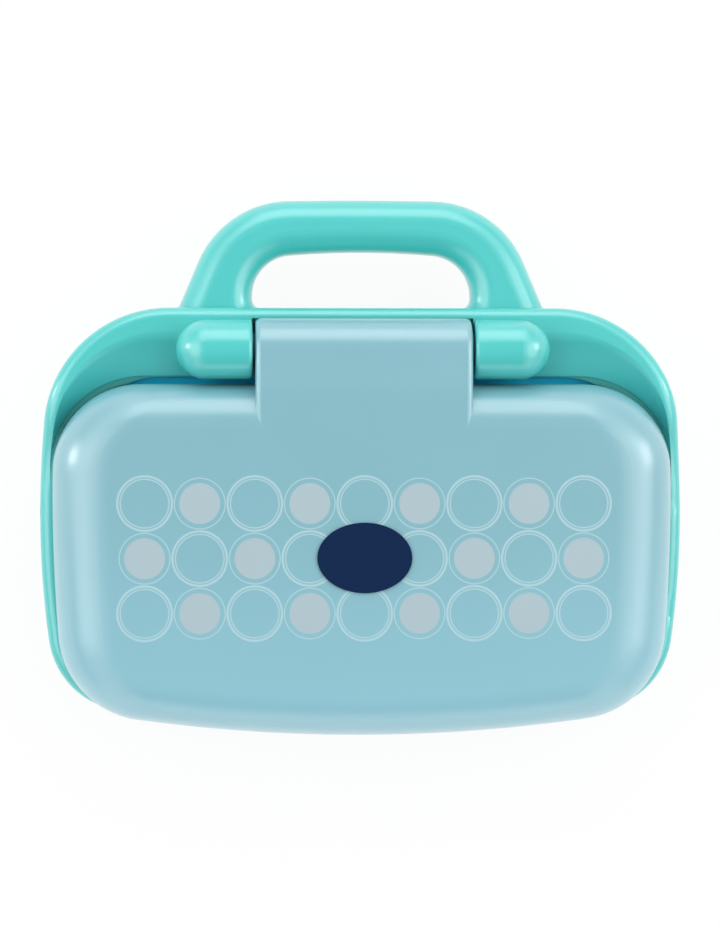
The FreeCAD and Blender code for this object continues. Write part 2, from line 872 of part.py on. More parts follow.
SIDES = (("left", -1), ("right", 1))
rear_roof = s.split_height + s.rear_boss_rise
flat_roof = deck_top + s.boss_bite
case_screw_spots = {}
for side, sign in SIDES:
    side_screw_x = sign * (s.base_width / 2 - s.side_screw_inset)
    case_screw_spots[f"rear_{side}"] = (sign * s.rear_screw_x, hinge_y, rear_roof)
    case_screw_spots[f"side_{side}"] = (side_screw_x, front + s.side_screw_setback, flat_roof)
    case_screw_spots[f"front_{side}"] = (sign * s.front_screw_x, base_front + s.front_screw_inset, flat_roof)
deck_posts = [(sign * s.post_x, front + setback) for _, sign in SIDES
              for setback in (s.post_rear_setback, s.post_front_setback)]
feet_spots = [(sign * x, front + setback) for _, sign in SIDES
              for x, setback in ((s.foot_rear_x, s.foot_rear_setback), (s.foot_front_x, s.foot_front_setback))]
deck_bosses = [(sign * x, front + setback) for _, sign in SIDES
               for x, setback in ((s.boss_rear_x, s.boss_rear_setback),
                                  (s.boss_middle_x, s.boss_middle_setback),
                                  (s.boss_front_x, s.boss_front_setback))]
speaker_x = -s.speaker_x
speaker_y = front + s.speaker_setback
speaker_clips = [(speaker_x, speaker_y + sign * s.clip_post_distance) for _, sign in SIDES]
bay_y = front + s.bay_setback
bay_length = s.cell_length + s.cell_nub + s.contact_thickness * 2 + s.contact_button + s.contact_leaf
cell_z = floor + s.cell_clearance + s.cell_radius
bay_roof = cell_z + s.cell_radius + s.cell_clearance
cells = [bay_y + s.cell_offset + sign * s.cell_pitch / 2 for _, sign in SIDES]
door_screw_y = bay_y - s.door_screw_offset
cable_x = knuckle_end + s.pin_head
socket_y = front + s.socket_setback
bezel_low = lid_bottom + s.bezel_recess
bezel_top = bezel_low + s.bezel_thickness
screen_y = front + s.screen_setback
lid_screw_spots = [(sign * x, front + setback) for _, sign in SIDES
                   for x, setback in ((s.lid_screw_side_x, s.lid_screw_side_setback),
                                      (s.lid_screw_front_x, s.lid_screw_front_setback),
                                      (s.lid_screw_rear_x, s.lid_screw_rear_setback))]
lid_board_low = bezel_top + s.lid_board_lift
lid_post_x = s.lid_board_width / 2 - s.lid_post_inset
lid_post_reach = s.lid_board_depth / 2 - s.lid_post_inset
lid_posts = [(sign * lid_post_x, screen_y + way * lid_post_reach) for _, sign in SIDES for _, way in SIDES]
bumper_spots = [(sign * s.bumper_x, front + setback) for _, sign in SIDES
                for setback in (s.bumper_rear_setback, s.bumper_front_setback)]
slider_y = front + s.slider_setback
key_top = deck_top + s.key_rise
key_y = front + s.key_rows_setback
front_row_y = front + s.front_row_setback
key_spots = [((column - 2) * s.key_pitch_x, key_y + (0.5 - row) * s.key_pitch_y)
             for row in range(2) for column in range(5)]


# Bottom case: tray with battery bay, bosses, posts, speaker grille and lower handle half

def grille_holes():
    """A middle hole and two rings of holes under the speaker."""
    holes = []
    for ring, count in enumerate((1, 6, 12)):
        for number in range(count):
            turn = 2 * math.pi * number / count
            x = speaker_x + ring * s.grille_pitch * math.cos(turn)
            y = speaker_y + ring * s.grille_pitch * math.sin(turn)
            start = (x, y, s.foot_height - s.wall)
            holes.append(rod(f"grille_{ring}_{number}", start, s.grille_hole, s.wall * 3))
    return holes


def bottom_case():
    outer = plate("bottom_outer", base_plan, s.foot_height, s.split_height)
    round_edges(outer, s.bottom_rounding, lowest_edges(outer))
    inner = plate("bottom_inner", base_plan.inset(s.wall), floor, s.split_height)
    round_edges(inner, s.bottom_rounding - s.wall, lowest_edges(inner))
    below = s.foot_height - s.wall
    bosses = []
    bay_x = bay_length / 2
    bay_reach = s.bay_width / 2
    solids = [box("bay_block", (-bay_x - s.bay_wall, bay_y - bay_reach - s.bay_wall, s.foot_height),
                  (bay_x + s.bay_wall, bay_y + bay_reach + s.bay_wall, bay_roof + s.bay_wall))]
    holes = [box("bay_room", (-bay_x, bay_y - bay_reach, s.foot_height), (bay_x, bay_y + bay_reach, bay_roof))]
    door_room = rounded(size(0), bay_y, bay_length + s.door_lap * 2, s.bay_width + s.door_lap * 2,
                        s.door_corner)
    holes.append(plate("door_room", door_room, below, floor))
    for name, (x, y, _) in case_screw_spots.items():
        bosses.append(rod(f"low_boss_{name}", (x, y, s.foot_height), s.boss_radius + s.wall / 2,
                          s.boss_split - s.foot_height))
        holes.append(rod(f"screw_way_{name}", (x, y, below), s.screw_radius + s.hole_clearance,
                         s.boss_split - below))
        holes.append(rod(f"head_way_{name}", (x, y, below), s.head_radius + s.hole_clearance,
                         s.head_seat - below))
    for number, (x, y) in enumerate(deck_posts):
        solids.append(rod(f"deck_post_{number}", (x, y, s.foot_height), s.post_radius,
                          deck_low - s.foot_height))
    for number, (x, y) in enumerate(feet_spots):
        holes.append(rod(f"foot_seat_{number}", (x, y, below), s.foot_radius + s.screw_fit,
                         s.foot_recess + s.wall))
    for number, (x, y) in enumerate(speaker_clips):
        solids.append(rod(f"clip_post_{number}", (x, y, s.foot_height), s.clip_post_radius,
                          floor + s.speaker_flange - s.foot_height))
        holes.append(rod(f"clip_pilot_{number}", (x, y, floor + s.speaker_flange - s.clip_screw_length),
                         s.small_screw_radius + s.screw_fit, s.clip_screw_length))
    for number, y in enumerate(cells):
        holes.append(rod(f"lead_way_{number}", (bay_length / 2 - s.bay_wall, y, cell_z + s.contact_size / 2),
                         s.lead_radius + s.hole_clearance, s.bay_wall * 3, ALONG_X))
    trimmed_bosses = common("low_bosses", outer, fuse("low_boss_rods", *bosses))
    tray = fuse("bottom_tray", cut("bottom_hollow", outer, inner), trimmed_bosses, lower_handle_shell, *solids)
    drilled = cut("bottom_drilled", tray, lower_handle_hollow, *holes, *grille_holes())
    door_post = rod("door_post", (0, door_screw_y, floor), s.door_post_radius,
                    bay_roof - floor + s.bay_wall / 2)
    pilot = rod("door_pilot", (0, door_screw_y, floor), s.small_screw_radius + s.screw_fit, s.door_screw_length)
    return cut("base_bottom_case", fuse("bottom_with_post", drilled, door_post), pilot)


# Top case: rim, dished ledge, hinge knuckles and upper handle half

def ramp(drop):
    """Side profile of the room above the rim, which rises towards the rear."""
    start = front + s.ramp_start
    finish = start + s.ramp_run
    low = s.rim_height - drop
    high = s.rear_rim_height - drop
    rise = s.rear_rim_height - s.rim_height
    radius = (s.ramp_run * s.ramp_run + rise * rise) / (4 * rise)
    ahead = front - s.side_ledge
    above = high + s.wall * 2
    corners = [(ahead, low), (start, low), ((start + finish) / 2, (low + high) / 2), (finish, high),
               (finish, above), (ahead, above)]
    return profile(corners, {1: Bend(radius, LEFT_TURN), 2: Bend(radius, RIGHT_TURN)})


def loose_sketch(name, draw, height):
    sketch = doc.addObject("Sketcher::SketchObject", name)
    draw(sketch)
    bind(sketch, "Placement.Base.z", height)
    return sketch


def dish(name, gap):
    """Room above the dished ledge and its rounded crest, larger by a gap below and to the sides."""
    item = doc.addObject("Part::Loft", name)
    rise = s.rear_rim_height + s.dish_crest - s.rim_height
    item.Sections = [loose_sketch(f"{name}_{number}", dish_floor.towards(dish_rim, run).inset(-gap / 2),
                                  s.rim_height + rise * share - gap)
                     for number, (run, share) in enumerate(LEDGE_CURVE)]
    item.Solid = True
    item.Ruled = True
    return item


def knuckle():
    """Right-hand hinge knuckle: a turned barrel with a domed outer end."""
    radius = s.knuckle_radius
    rounding = s.knuckle_rounding
    corners = [(knuckle_face, 0), (knuckle_end + radius, 0), (knuckle_end, radius),
               (knuckle_face + rounding, radius), (knuckle_face, radius - rounding)]
    bends = {1: Bend(radius, LEFT_TURN), 3: Bend(rounding, LEFT_TURN)}
    body = doc.addObject("PartDesign::Body", "knuckle_barrel")
    turned = body.newObject("PartDesign::Revolution", "knuckle_turn")
    sketch = new_sketch(body, "XY_Plane", "knuckle_profile", profile(corners, bends), hinge_z)
    bind(sketch, "AttachmentOffset.Base.y", hinge_y)
    turned.Profile = sketch
    turned.ReferenceAxis = (sketch, ["H_Axis"])
    turned.Angle = 360
    half_post = s.knuckle_post / 2
    block = box("knuckle_block", (knuckle_face, hinge_y - half_post, s.rim_height),
                (knuckle_end, hinge_y + half_post, hinge_z))
    column = rod("knuckle_column", (knuckle_end, hinge_y, s.rim_height), half_post, hinge_z - s.rim_height)
    return fuse("knuckle", body, block, column)


def top_case():
    outer = plate("top_outer", base_plan, s.split_height, s.rear_rim_height)
    trim(outer, ramp(0), wide)
    round_edges(outer, s.rim_rounding, upper_outline(outer))
    inner = plate("top_inner", base_plan.inset(s.wall), s.split_height, s.rear_rim_height - s.wall)
    trim(inner, ramp(s.wall), wide)
    cavity = cut("top_cavity", inner, dish("dish_underside", s.wall))
    opening = plate("deck_opening", deck_plan, deck_top - s.wall, s.rim_height + s.wall)
    shell = cut("top_hollow", outer, cavity, dish("dish_room", size(0)), opening)
    right_knuckle = knuckle()
    pocket_radius = s.barrel_radius + s.tab_clearance
    trough_half = knuckle_face + s.wall
    solids = [right_knuckle, mirrored("left_knuckle", right_knuckle, Vector(1, 0, 0)),
              box("trough_front", (-trough_half, deck_rear, deck_top), (trough_half, hinge_y, s.rim_height)),
              box("trough_rear", (-trough_half, hinge_y, deck_top),
                  (trough_half, base_rear - s.wall / 2, s.rear_rim_height - s.rim_rounding))]
    holes = [handle_hollow,
             rod("barrel_pocket", (-knuckle_face, hinge_y, hinge_z), pocket_radius, knuckle_face * 2, ALONG_X),
             box("tab_pocket", (-knuckle_face, lid_rear - s.wall, hinge_z - pocket_radius),
                 (knuckle_face, hinge_y, lid_top + s.wall))]
    for side, sign in SIDES:
        start = sign * knuckle_face if sign > 0 else -knuckle_end
        holes.append(rod(f"pin_seat_{side}", (start, hinge_y, hinge_z), s.pin_radius + s.pin_fit,
                         s.knuckle_length, ALONG_X))
        holes.append(rod(f"cable_way_{side}", (sign * cable_x, hinge_y, s.split_height), s.knuckle_core_radius,
                         hinge_z + s.knuckle_core_radius - s.split_height))
    for name, (x, y, roof) in case_screw_spots.items():
        solids.append(rod(f"high_boss_{name}", (x, y, s.boss_split), s.boss_radius, roof - s.boss_split))
        holes.append(rod(f"high_pilot_{name}", (x, y, s.boss_split), s.screw_radius + s.screw_fit,
                         s.head_seat + s.screw_length + s.head_height - s.boss_split))
    whole = fuse("top_whole", shell, handle_shell, *solids)
    return cut("base_top_case", whole, *holes)


# Keyboard deck with its openings and bosses

def deck():
    sheet_body = plate("deck_sheet", deck_plan.inset(-s.deck_flange), deck_low, deck_top)
    above = deck_top + s.wall
    holes = []
    gap = s.key_clearance
    for number, (x, y) in enumerate(key_spots):
        outline = rounded(size(x), y, s.key_width + gap * 2, s.key_depth + gap * 2, s.key_corner + gap)
        holes.append(plate(f"key_hole_{number}", outline, deck_low - s.wall, above))
    for side, sign in SIDES:
        outline = disc(sign * s.round_button_spacing / 2, front_row_y, s.round_button_radius + gap)
        holes.append(plate(f"button_hole_{side}", outline, deck_low - s.wall, above))
    outline = rounded(size(0), front_row_y, s.pad_width + gap * 2, s.pad_depth + gap * 2, s.pad_corner + gap)
    holes.append(plate("pad_hole", outline, deck_low - s.wall, above))
    slot_low = s.slider_x - s.slider_neck / 2 - s.slider_clearance
    slot_high = s.slider_x + s.slider_neck / 2 + s.slider_travel + s.slider_clearance
    slot_half = s.slider_width / 2 + s.slider_clearance
    holes.append(box("slider_slot", (slot_low, slider_y - slot_half, deck_low - s.wall),
                     (slot_high, slider_y + slot_half, above)))
    bosses = []
    for number, (x, y) in enumerate(deck_bosses):
        bosses.append(rod(f"deck_boss_{number}", (x, y, board_top), s.deck_boss_radius,
                          deck_low - board_top + s.screw_fit))
        holes.append(rod(f"deck_pilot_{number}", (x, y, board_top - s.wall), s.small_screw_radius + s.screw_fit,
                         s.small_screw_length + s.wall))
    return cut("keyboard_deck", fuse("deck_with_bosses", sheet_body, *bosses), *holes)


# Keys, round buttons, touch pad and power slider

def pressed_piece(name, cap_outline, flange_outline, x, y, dished=True):
    """Key that stands through the deck on a wider flange below it."""
    cap = plate(f"{name}_cap", cap_outline, flange_low, key_top)
    round_edges(cap, s.key_rounding, highest_edges(cap))
    flange = plate(f"{name}_flange", flange_outline, flange_low, key_low)
    whole = fuse(f"{name}_whole", cap, flange)
    if not dished:
        return whole
    hollow = ball(f"{name}_dish", (x, y, key_top + s.key_dish_radius - s.key_dish), s.key_dish_radius)
    return cut(f"{name}_piece", whole, hollow)


def key(number):
    x, y = key_spots[number]
    lap = s.key_clearance + s.key_flange
    cap = rounded(size(x), y, s.key_width, s.key_depth, s.key_corner)
    flange = rounded(size(x), y, s.key_width + lap * 2, s.key_depth + lap * 2, s.key_corner + lap)
    return pressed_piece(f"key_{number}", cap, flange, x, y)


def round_piece(name, sign):
    x = sign * s.round_button_spacing / 2
    lap = s.key_clearance + s.key_flange
    cap = disc(x, front_row_y, s.round_button_radius)
    flange = disc(x, front_row_y, s.round_button_radius + lap)
    return pressed_piece(name, cap, flange, x, front_row_y)


def touch_pad():
    lap = s.key_clearance + s.key_flange
    cap = rounded(size(0), front_row_y, s.pad_width, s.pad_depth, s.pad_corner)
    flange = rounded(size(0), front_row_y, s.pad_width + lap * 2, s.pad_depth + lap * 2, s.pad_corner + lap)
    return pressed_piece("touch_pad", cap, flange, 0, front_row_y, dished=False)


def power_slider():
    cap_low = deck_top + s.key_rest_gap
    outline = rounded(s.slider_x, slider_y, s.slider_cap_length, s.slider_cap_width, s.key_rounding)
    cap = plate("slider_cap", outline, cap_low, cap_low + s.slider_cap_height)
    round_edges(cap, s.slider_cap_height / 4, highest_edges(cap))
    neck = box("slider_stem",
               (s.slider_x - s.slider_neck / 2, slider_y - s.slider_width / 2, key_low - s.slider_foot),
               (s.slider_x + s.slider_neck / 2, slider_y + s.slider_width / 2, cap_low))
    foot_x = s.slider_cap_length / 2
    foot_reach = s.slider_cap_width / 2
    foot = box("slider_foot_plate",
               (s.slider_x - foot_x, slider_y - foot_reach, key_low - s.slider_foot),
               (s.slider_x + foot_x, slider_y + foot_reach, key_low))
    return fuse("power_slider", cap, neck, foot)


# Lid: pillow-shaped cover, bezel with the screen, and the hinge tab between them

def crown(drop):
    """Side profile of the room above the lid, whose top falls towards the front."""
    start = front + s.crown_start
    top = lid_top - drop
    nose = top - s.crown_drop
    ahead = front - s.side_ledge
    above = top + s.lid_wall * 2
    radius = (s.crown_start * s.crown_start + s.crown_drop * s.crown_drop) / (2 * s.crown_drop)
    corners = [(front, nose), (start, top), (start, above), (ahead, above), (ahead, nose)]
    return profile(corners, {0: Bend(radius, RIGHT_TURN)})


def tab_top(gap):
    """Side profile of the upper half of the hinge tab, smaller by a gap."""
    radius = s.barrel_radius - gap
    ahead = lid_rear - s.lid_rounding - gap
    corners = [(ahead, hinge_z), (hinge_y + radius, hinge_z), (hinge_y, hinge_z + radius),
               (ahead, hinge_z + radius)]
    return profile(corners, {1: Bend(radius, LEFT_TURN)})


def tab_under(gap):
    """Side profile of the lower half of the hinge tab, smaller by a gap."""
    radius = s.barrel_radius - gap
    ahead = lid_rear - s.tab_tongue - gap
    low = bezel_low + gap
    corners = [(ahead, low), (hinge_y, low), (hinge_y, hinge_z - radius), (hinge_y + radius, hinge_z),
               (ahead, hinge_z)]
    return profile(corners, {2: Bend(radius, LEFT_TURN)})


def end_edges(body):
    """Edges of a tab's two end faces that lie above its flat underside."""
    bounds = body.Shape.BoundBox

    def wanted(edge):
        reach = edge.BoundBox
        at_end = reach.XLength < HAIR
        return at_end and reach.ZMax > bounds.ZMin + HAIR and reach.YMax > bounds.YMin + HAIR
    return wanted


def pin_ways(name):
    """Bores for the two hinge pins through the ends of the tab."""
    return [rod(f"{name}_{side}", (sign * tab_half - (s.tab_end_wall if sign > 0 else 0), hinge_y, hinge_z),
                s.pin_radius + s.pin_running_fit, s.tab_end_wall, ALONG_X) for side, sign in SIDES]


def lid_cover():
    outer = plate("lid_outer", lid_plan, lid_bottom, lid_top)
    trim(outer, crown(size(0)), wide)
    round_edges(outer, s.lid_rounding, upper_outline(outer))
    inner = plate("lid_inner", lid_plan.inset(s.lid_wall), lid_bottom, lid_top - s.lid_wall)
    trim(inner, crown(s.lid_wall), wide)
    round_edges(inner, s.lid_rounding - s.lid_wall, upper_outline(inner))
    tab = bar("lid_tab", tab_top(size(0)), s.tab_width)
    round_edges(tab, s.tab_rounding, end_edges(tab))
    hollow = bar("lid_tab_hollow", tab_top(s.lid_wall), s.tab_width - s.tab_end_wall * 2)
    notch_half = tab_half + s.bezel_clearance
    notch = box("tongue_notch", (-notch_half, lid_rear - s.lid_rounding, lid_bottom - s.lid_wall),
                (notch_half, lid_rear + s.lid_wall, hinge_z))
    rods = []
    holes = []
    for number, (x, y) in enumerate(lid_screw_spots):
        rods.append(rod(f"lid_boss_{number}", (x, y, bezel_top), s.boss_radius, lid_top - bezel_top))
        holes.append(rod(f"lid_pilot_{number}", (x, y, bezel_top), s.small_screw_radius + s.screw_fit,
                         s.lid_screw_length))
    bosses = common("lid_bosses", outer, fuse("lid_boss_rods", *rods))
    shell = fuse("lid_shell", cut("lid_hollow", outer, inner), bosses, tab)
    return cut("lid_cover", shell, hollow, notch, *pin_ways("cover_pin"), *holes)


def lid_bezel():
    sheet_body = plate("bezel_sheet", lid_plan.inset(s.lid_wall + s.bezel_clearance), bezel_low, bezel_top)
    tongue = bar("bezel_tongue", tab_under(size(0)), s.tab_width)
    hollow = bar("bezel_tongue_hollow", tab_under(s.lid_wall), s.tab_width - s.tab_end_wall * 2)
    window = rounded(size(0), screen_y, s.window_width, s.window_depth, s.window_corner)
    lap = s.lens_lap + s.lens_clearance
    seat = rounded(size(0), screen_y, s.window_width + lap * 2, s.window_depth + lap * 2, s.window_corner + lap)
    posts = []
    holes = [hollow, plate("window", window, bezel_low - s.lid_wall, bezel_top + s.lid_wall),
             plate("lens_seat", seat, bezel_low - s.lid_wall, bezel_low + s.lens_thickness)]
    for number, (x, y) in enumerate(lid_posts):
        posts.append(rod(f"board_post_{number}", (x, y, bezel_low + s.lens_thickness), s.lid_post_radius,
                         lid_board_low - bezel_low - s.lens_thickness))
        holes.append(rod(f"board_post_pilot_{number}", (x, y, bezel_top), s.small_screw_radius + s.screw_fit,
                         s.lid_board_lift))
    for number, (x, y) in enumerate(lid_screw_spots):
        holes.append(rod(f"bezel_screw_way_{number}", (x, y, bezel_low - s.lid_wall),
                         s.small_screw_radius + s.hole_clearance, s.lid_wall + s.bezel_thickness * 2))
        holes.append(rod(f"bezel_head_way_{number}", (x, y, bezel_low - s.lid_wall),
                         s.small_head_radius + s.hole_clearance, s.lid_wall + s.small_head))
    return cut("lid_bezel", fuse("bezel_whole", sheet_body, tongue, *posts), *holes, *pin_ways("bezel_pin"))


def screen_stack():
    """Clear lens in front of the window, display panel and light guide behind it, clear of the board's posts."""
    lens = rounded(size(0), screen_y, s.window_width + s.lens_lap * 2, s.window_depth + s.lens_lap * 2,
                   s.window_corner + s.lens_lap)
    panel = rounded(size(0), screen_y, s.window_width + s.panel_lap * 2, s.window_depth + s.panel_lap * 2,
                    s.window_corner)
    lcd_top = bezel_top + s.lcd_thickness
    parts["screen_lens"] = plate("screen_lens", lens, bezel_low, bezel_low + s.lens_thickness)
    layers = {"display_panel": (bezel_top, lcd_top), "light_guide": (lcd_top, lcd_top + s.backlight_thickness)}
    for node, (low, high) in layers.items():
        ways = [rod(f"{node}_way_{number}", (x, y, low), s.lid_post_radius + s.hole_clearance, high - low)
                for number, (x, y) in enumerate(lid_posts)]
        parts[node] = cut(node, plate(f"{node}_sheet", panel, low, high), *ways)


def lid_electronics():
    """Lid board on the bezel's posts, its lamps, cable socket and screws."""
    outline = rounded(size(0), screen_y, s.lid_board_width, s.lid_board_depth, s.board_corner)
    board = plate("lid_board_sheet", outline, lid_board_low, lid_board_low + s.board_thickness)
    holes = [rod(f"lid_board_hole_{number}", (x, y, bezel_top), s.small_screw_radius + s.hole_clearance,
                 s.lid_height) for number, (x, y) in enumerate(lid_posts)]
    parts["lid_board"] = cut("lid_board", board, *holes)
    lamp_low = bezel_top + s.lcd_thickness + s.backlight_thickness + s.lens_clearance
    lamps = [rod(f"lamp_{number}", ((number - 1.5) * s.led_spacing, screen_y, lamp_low), s.led_radius,
                 lid_board_low - lamp_low) for number in range(4)]
    parts["screen_lamps"] = group("screen_lamps", lamps)
    socket_front = screen_y + s.lid_board_depth / 2
    parts["lid_cable_socket"] = box("lid_cable_socket",
                                    (-s.lid_cable_x - s.socket_width / 2, socket_front, lamp_low),
                                    (-s.lid_cable_x + s.socket_width / 2, socket_front + s.socket_depth,
                                     lamp_low + s.socket_height))
    parts["lid_board_screws"] = group("lid_board_screws", [
        screw(f"lid_board_screw_{number}", x, y, lid_board_low + s.board_thickness, s.small_screw_radius,
              s.small_screw_length, s.small_head_radius, s.small_head, head_up=True)
        for number, (x, y) in enumerate(lid_posts)])
    parts["lid_screws"] = group("lid_screws", [
        screw(f"lid_screw_{number}", x, y, bezel_low + s.small_head, s.small_screw_radius, s.lid_screw_length,
              s.small_head_radius, s.small_head) for number, (x, y) in enumerate(lid_screw_spots)])


def screw(name, x, y, seat, radius, length, head_radius, head, head_up=False):
    """Pan-head screw with a cross slot, its head seated at a height."""
    shank_low = seat - length if head_up else seat
    head_low = seat if head_up else seat - head
    shank = rod(f"{name}_shank", (x, y, shank_low), radius, length)
    top = rod(f"{name}_head", (x, y, head_low), head_radius, head)
    slot_low = seat + head / 2 if head_up else seat - head
    arm = head_radius * SLOT_REACH
    thin = head_radius * SLOT_HALF_WIDTH
    slots = [box(f"{name}_slot_{index}", (x - across, y - along, slot_low),
                 (x + across, y + along, slot_low + head / 2))
             for index, (across, along) in enumerate(((arm, thin), (thin, arm)))]
    return cut(name, fuse(f"{name}_whole", shank, top), *slots)


def badge():
    """Plain oval plate in the middle of the lid."""
    outline = doc.addObject("Part::Ellipse", "badge_outline")
    bind(outline, "MajorRadius", s.badge_width / 2)
    bind(outline, "MinorRadius", s.badge_depth / 2)
    place(outline, (0, front + s.badge_setback, lid_top))
    item = doc.addObject("Part::Extrusion", "badge_plate")
    item.Base = outline
    item.DirMode = "Custom"
    item.Dir = Vector(0, 0, 1)
    item.Solid = True
    bind(item, "LengthFwd", s.badge_height)
    return item


# Hinge pins and washers

def hinge_pin(side, sign):
    """Hollow pin pressed into a knuckle, with a head inside the tab."""
    head_face = tab_half - s.tab_end_wall
    head_low = head_face - s.pin_head - s.key_rest_gap
    length = knuckle_face + s.pin_reach - head_low
    start = head_low if sign > 0 else -head_low - length
    head_start = head_low if sign > 0 else -head_low - s.pin_head
    shank = rod(f"pin_shank_{side}", (start, hinge_y, hinge_z), s.pin_radius, length, ALONG_X)
    head = rod(f"pin_head_{side}", (head_start, hinge_y, hinge_z), s.pin_head_radius, s.pin_head, ALONG_X)
    bore = rod(f"pin_bore_{side}", (start, hinge_y, hinge_z), s.pin_bore, length, ALONG_X)
    return cut(f"hinge_pin_{side}", fuse(f"pin_whole_{side}", shank, head), bore)


def hinge_washer(side, sign):
    slack = (s.knuckle_gap - s.washer_thickness) / 2
    start = tab_half + slack if sign > 0 else -tab_half - slack - s.washer_thickness
    ring = rod(f"washer_disc_{side}", (start, hinge_y, hinge_z), s.washer_radius, s.washer_thickness, ALONG_X)
    bore = rod(f"washer_bore_{side}", (start, hinge_y, hinge_z), s.pin_radius + s.pin_running_fit,
               s.washer_thickness, ALONG_X)
    return cut(f"washer_{side}", ring, bore)


# Main board, rubber membrane, switch and small electronics

def main_board():
    depth = s.board_rear - s.board_front
    outline = rounded(size(0), front + s.board_front + depth / 2, s.board_width, depth, s.board_corner)
    sheet_body = plate("board_sheet", outline, board_low, board_top)
    holes = [rod(f"board_hole_{number}", (x, y, board_low - s.wall), s.small_screw_radius + s.hole_clearance,
                 s.board_thickness + s.wall * 2) for number, (x, y) in enumerate(deck_bosses)]
    return cut("main_board", sheet_body, *holes)


def membrane():
    """Rubber sheet with a hollow dome under each key."""
    depth = s.membrane_rear - s.board_front - s.membrane_margin
    middle = front + s.board_front + s.membrane_margin + depth / 2
    outline = rounded(size(0), middle, s.board_width - s.membrane_margin * 2, depth, s.board_corner)
    sheet_body = plate("membrane_sheet", outline, board_top, board_top + s.membrane_thickness)
    spots = list(key_spots)
    spots += [(sign * s.round_button_spacing / 2, front_row_y) for _, sign in SIDES]
    spots.append((size(0), front_row_y))
    domes = []
    holes = []
    for number, (x, y) in enumerate(spots):
        domes.append(taper(f"dome_{number}", (x, y, board_top), s.dome_radius, s.dome_top_radius,
                           flange_low - board_top))
        holes.append(taper(f"dome_room_{number}", (x, y, board_top), s.dome_radius - s.dome_wall,
                           s.dome_top_radius - s.dome_wall, flange_low - board_top - s.dome_wall))
    for number, (x, y) in enumerate(deck_bosses):
        holes.append(rod(f"membrane_hole_{number}", (x, y, board_low), s.deck_boss_radius + s.hole_clearance,
                         deck_low - board_low))
    return cut("rubber_membrane", fuse("membrane_whole", sheet_body, *domes), *holes)


def slide_switch():
    """Switch body on the main board under the power slider."""
    middle = s.slider_x + s.slider_travel / 2
    roof = key_low - s.slider_foot - s.key_rest_gap
    return box("slide_switch", (middle - s.switch_length / 2, slider_y - s.switch_width / 2, board_top),
               (middle + s.switch_length / 2, slider_y + s.switch_width / 2, roof))


def sound_chip():
    """Sound chip under a drop of resin on the underside of the board."""
    outline = disc(s.chip_x, front + s.chip_setback, s.chip_radius)
    drop = plate("chip_drop", outline, board_low - s.chip_height, board_low)
    round_edges(drop, s.chip_height * RESIN_ROUNDING, lowest_edges(drop))
    return drop


def base_electronics():
    parts["main_board"] = main_board()
    parts["rubber_membrane"] = membrane()
    parts["slide_switch"] = slide_switch()
    parts["sound_chip"] = sound_chip()
    parts["capacitors"] = group("capacitors", [
        rod(f"capacitor_{number}",
            (s.chip_x + s.chip_radius + s.capacitor_radius * (2 + 3 * number), front + s.chip_setback,
             board_low - s.capacitor_length), s.capacitor_radius, s.capacitor_length)
        for number in range(2)])
    parts["board_cable_socket"] = box("board_cable_socket",
                                      (-cable_x - s.socket_width / 2, socket_y - s.socket_depth, board_top),
                                      (-cable_x + s.socket_width / 2, socket_y, board_top + s.socket_height))
    parts["board_screws"] = group("board_screws", [
        screw(f"board_screw_{number}", x, y, board_low, s.small_screw_radius, s.small_screw_length,
              s.small_head_radius, s.small_head) for number, (x, y) in enumerate(deck_bosses)])


# Speaker

def speaker_unit():
    """Pressed frame, paper cone and magnet, facing down on the grille."""
    basket_top = floor + s.speaker_depth
    mouth = s.speaker_radius - s.speaker_rim
    flange = rod("speaker_flange", (speaker_x, speaker_y, floor), s.speaker_radius, s.speaker_flange)
    basket = taper("speaker_basket", (speaker_x, speaker_y, floor), mouth + s.speaker_sheet,
                   s.speaker_back_radius, s.speaker_depth)
    room = taper("speaker_room", (speaker_x, speaker_y, floor), mouth,
                 s.speaker_back_radius - s.speaker_sheet * 2, s.speaker_depth - s.speaker_sheet)
    parts["speaker_frame"] = cut("speaker_frame", fuse("speaker_metal", flange, basket), room)
    cone_height = s.speaker_depth - s.speaker_sheet * 3
    cone_rim = mouth - s.speaker_clearance
    cone_end = s.speaker_back_radius / 2
    body = taper("cone_body", (speaker_x, speaker_y, floor), cone_rim, cone_end, cone_height)
    hollow = taper("cone_hollow", (speaker_x, speaker_y, floor), cone_rim - s.cone_sheet * 2,
                   cone_end - s.cone_sheet * 2, cone_height - s.cone_sheet)
    parts["speaker_cone"] = cut("speaker_cone", body, hollow)
    parts["speaker_magnet"] = rod("speaker_magnet", (speaker_x, speaker_y, basket_top), s.magnet_radius,
                                  s.magnet_height)
    parts["speaker_screws"] = group("speaker_screws", [
        screw(f"speaker_screw_{number}", x, y, floor + s.speaker_flange, s.small_screw_radius,
              s.clip_screw_length - s.screw_fit, s.clip_head_radius, s.small_head, head_up=True)
        for number, (x, y) in enumerate(speaker_clips)])


# Battery bay: two cells, their contacts, the door and its screw

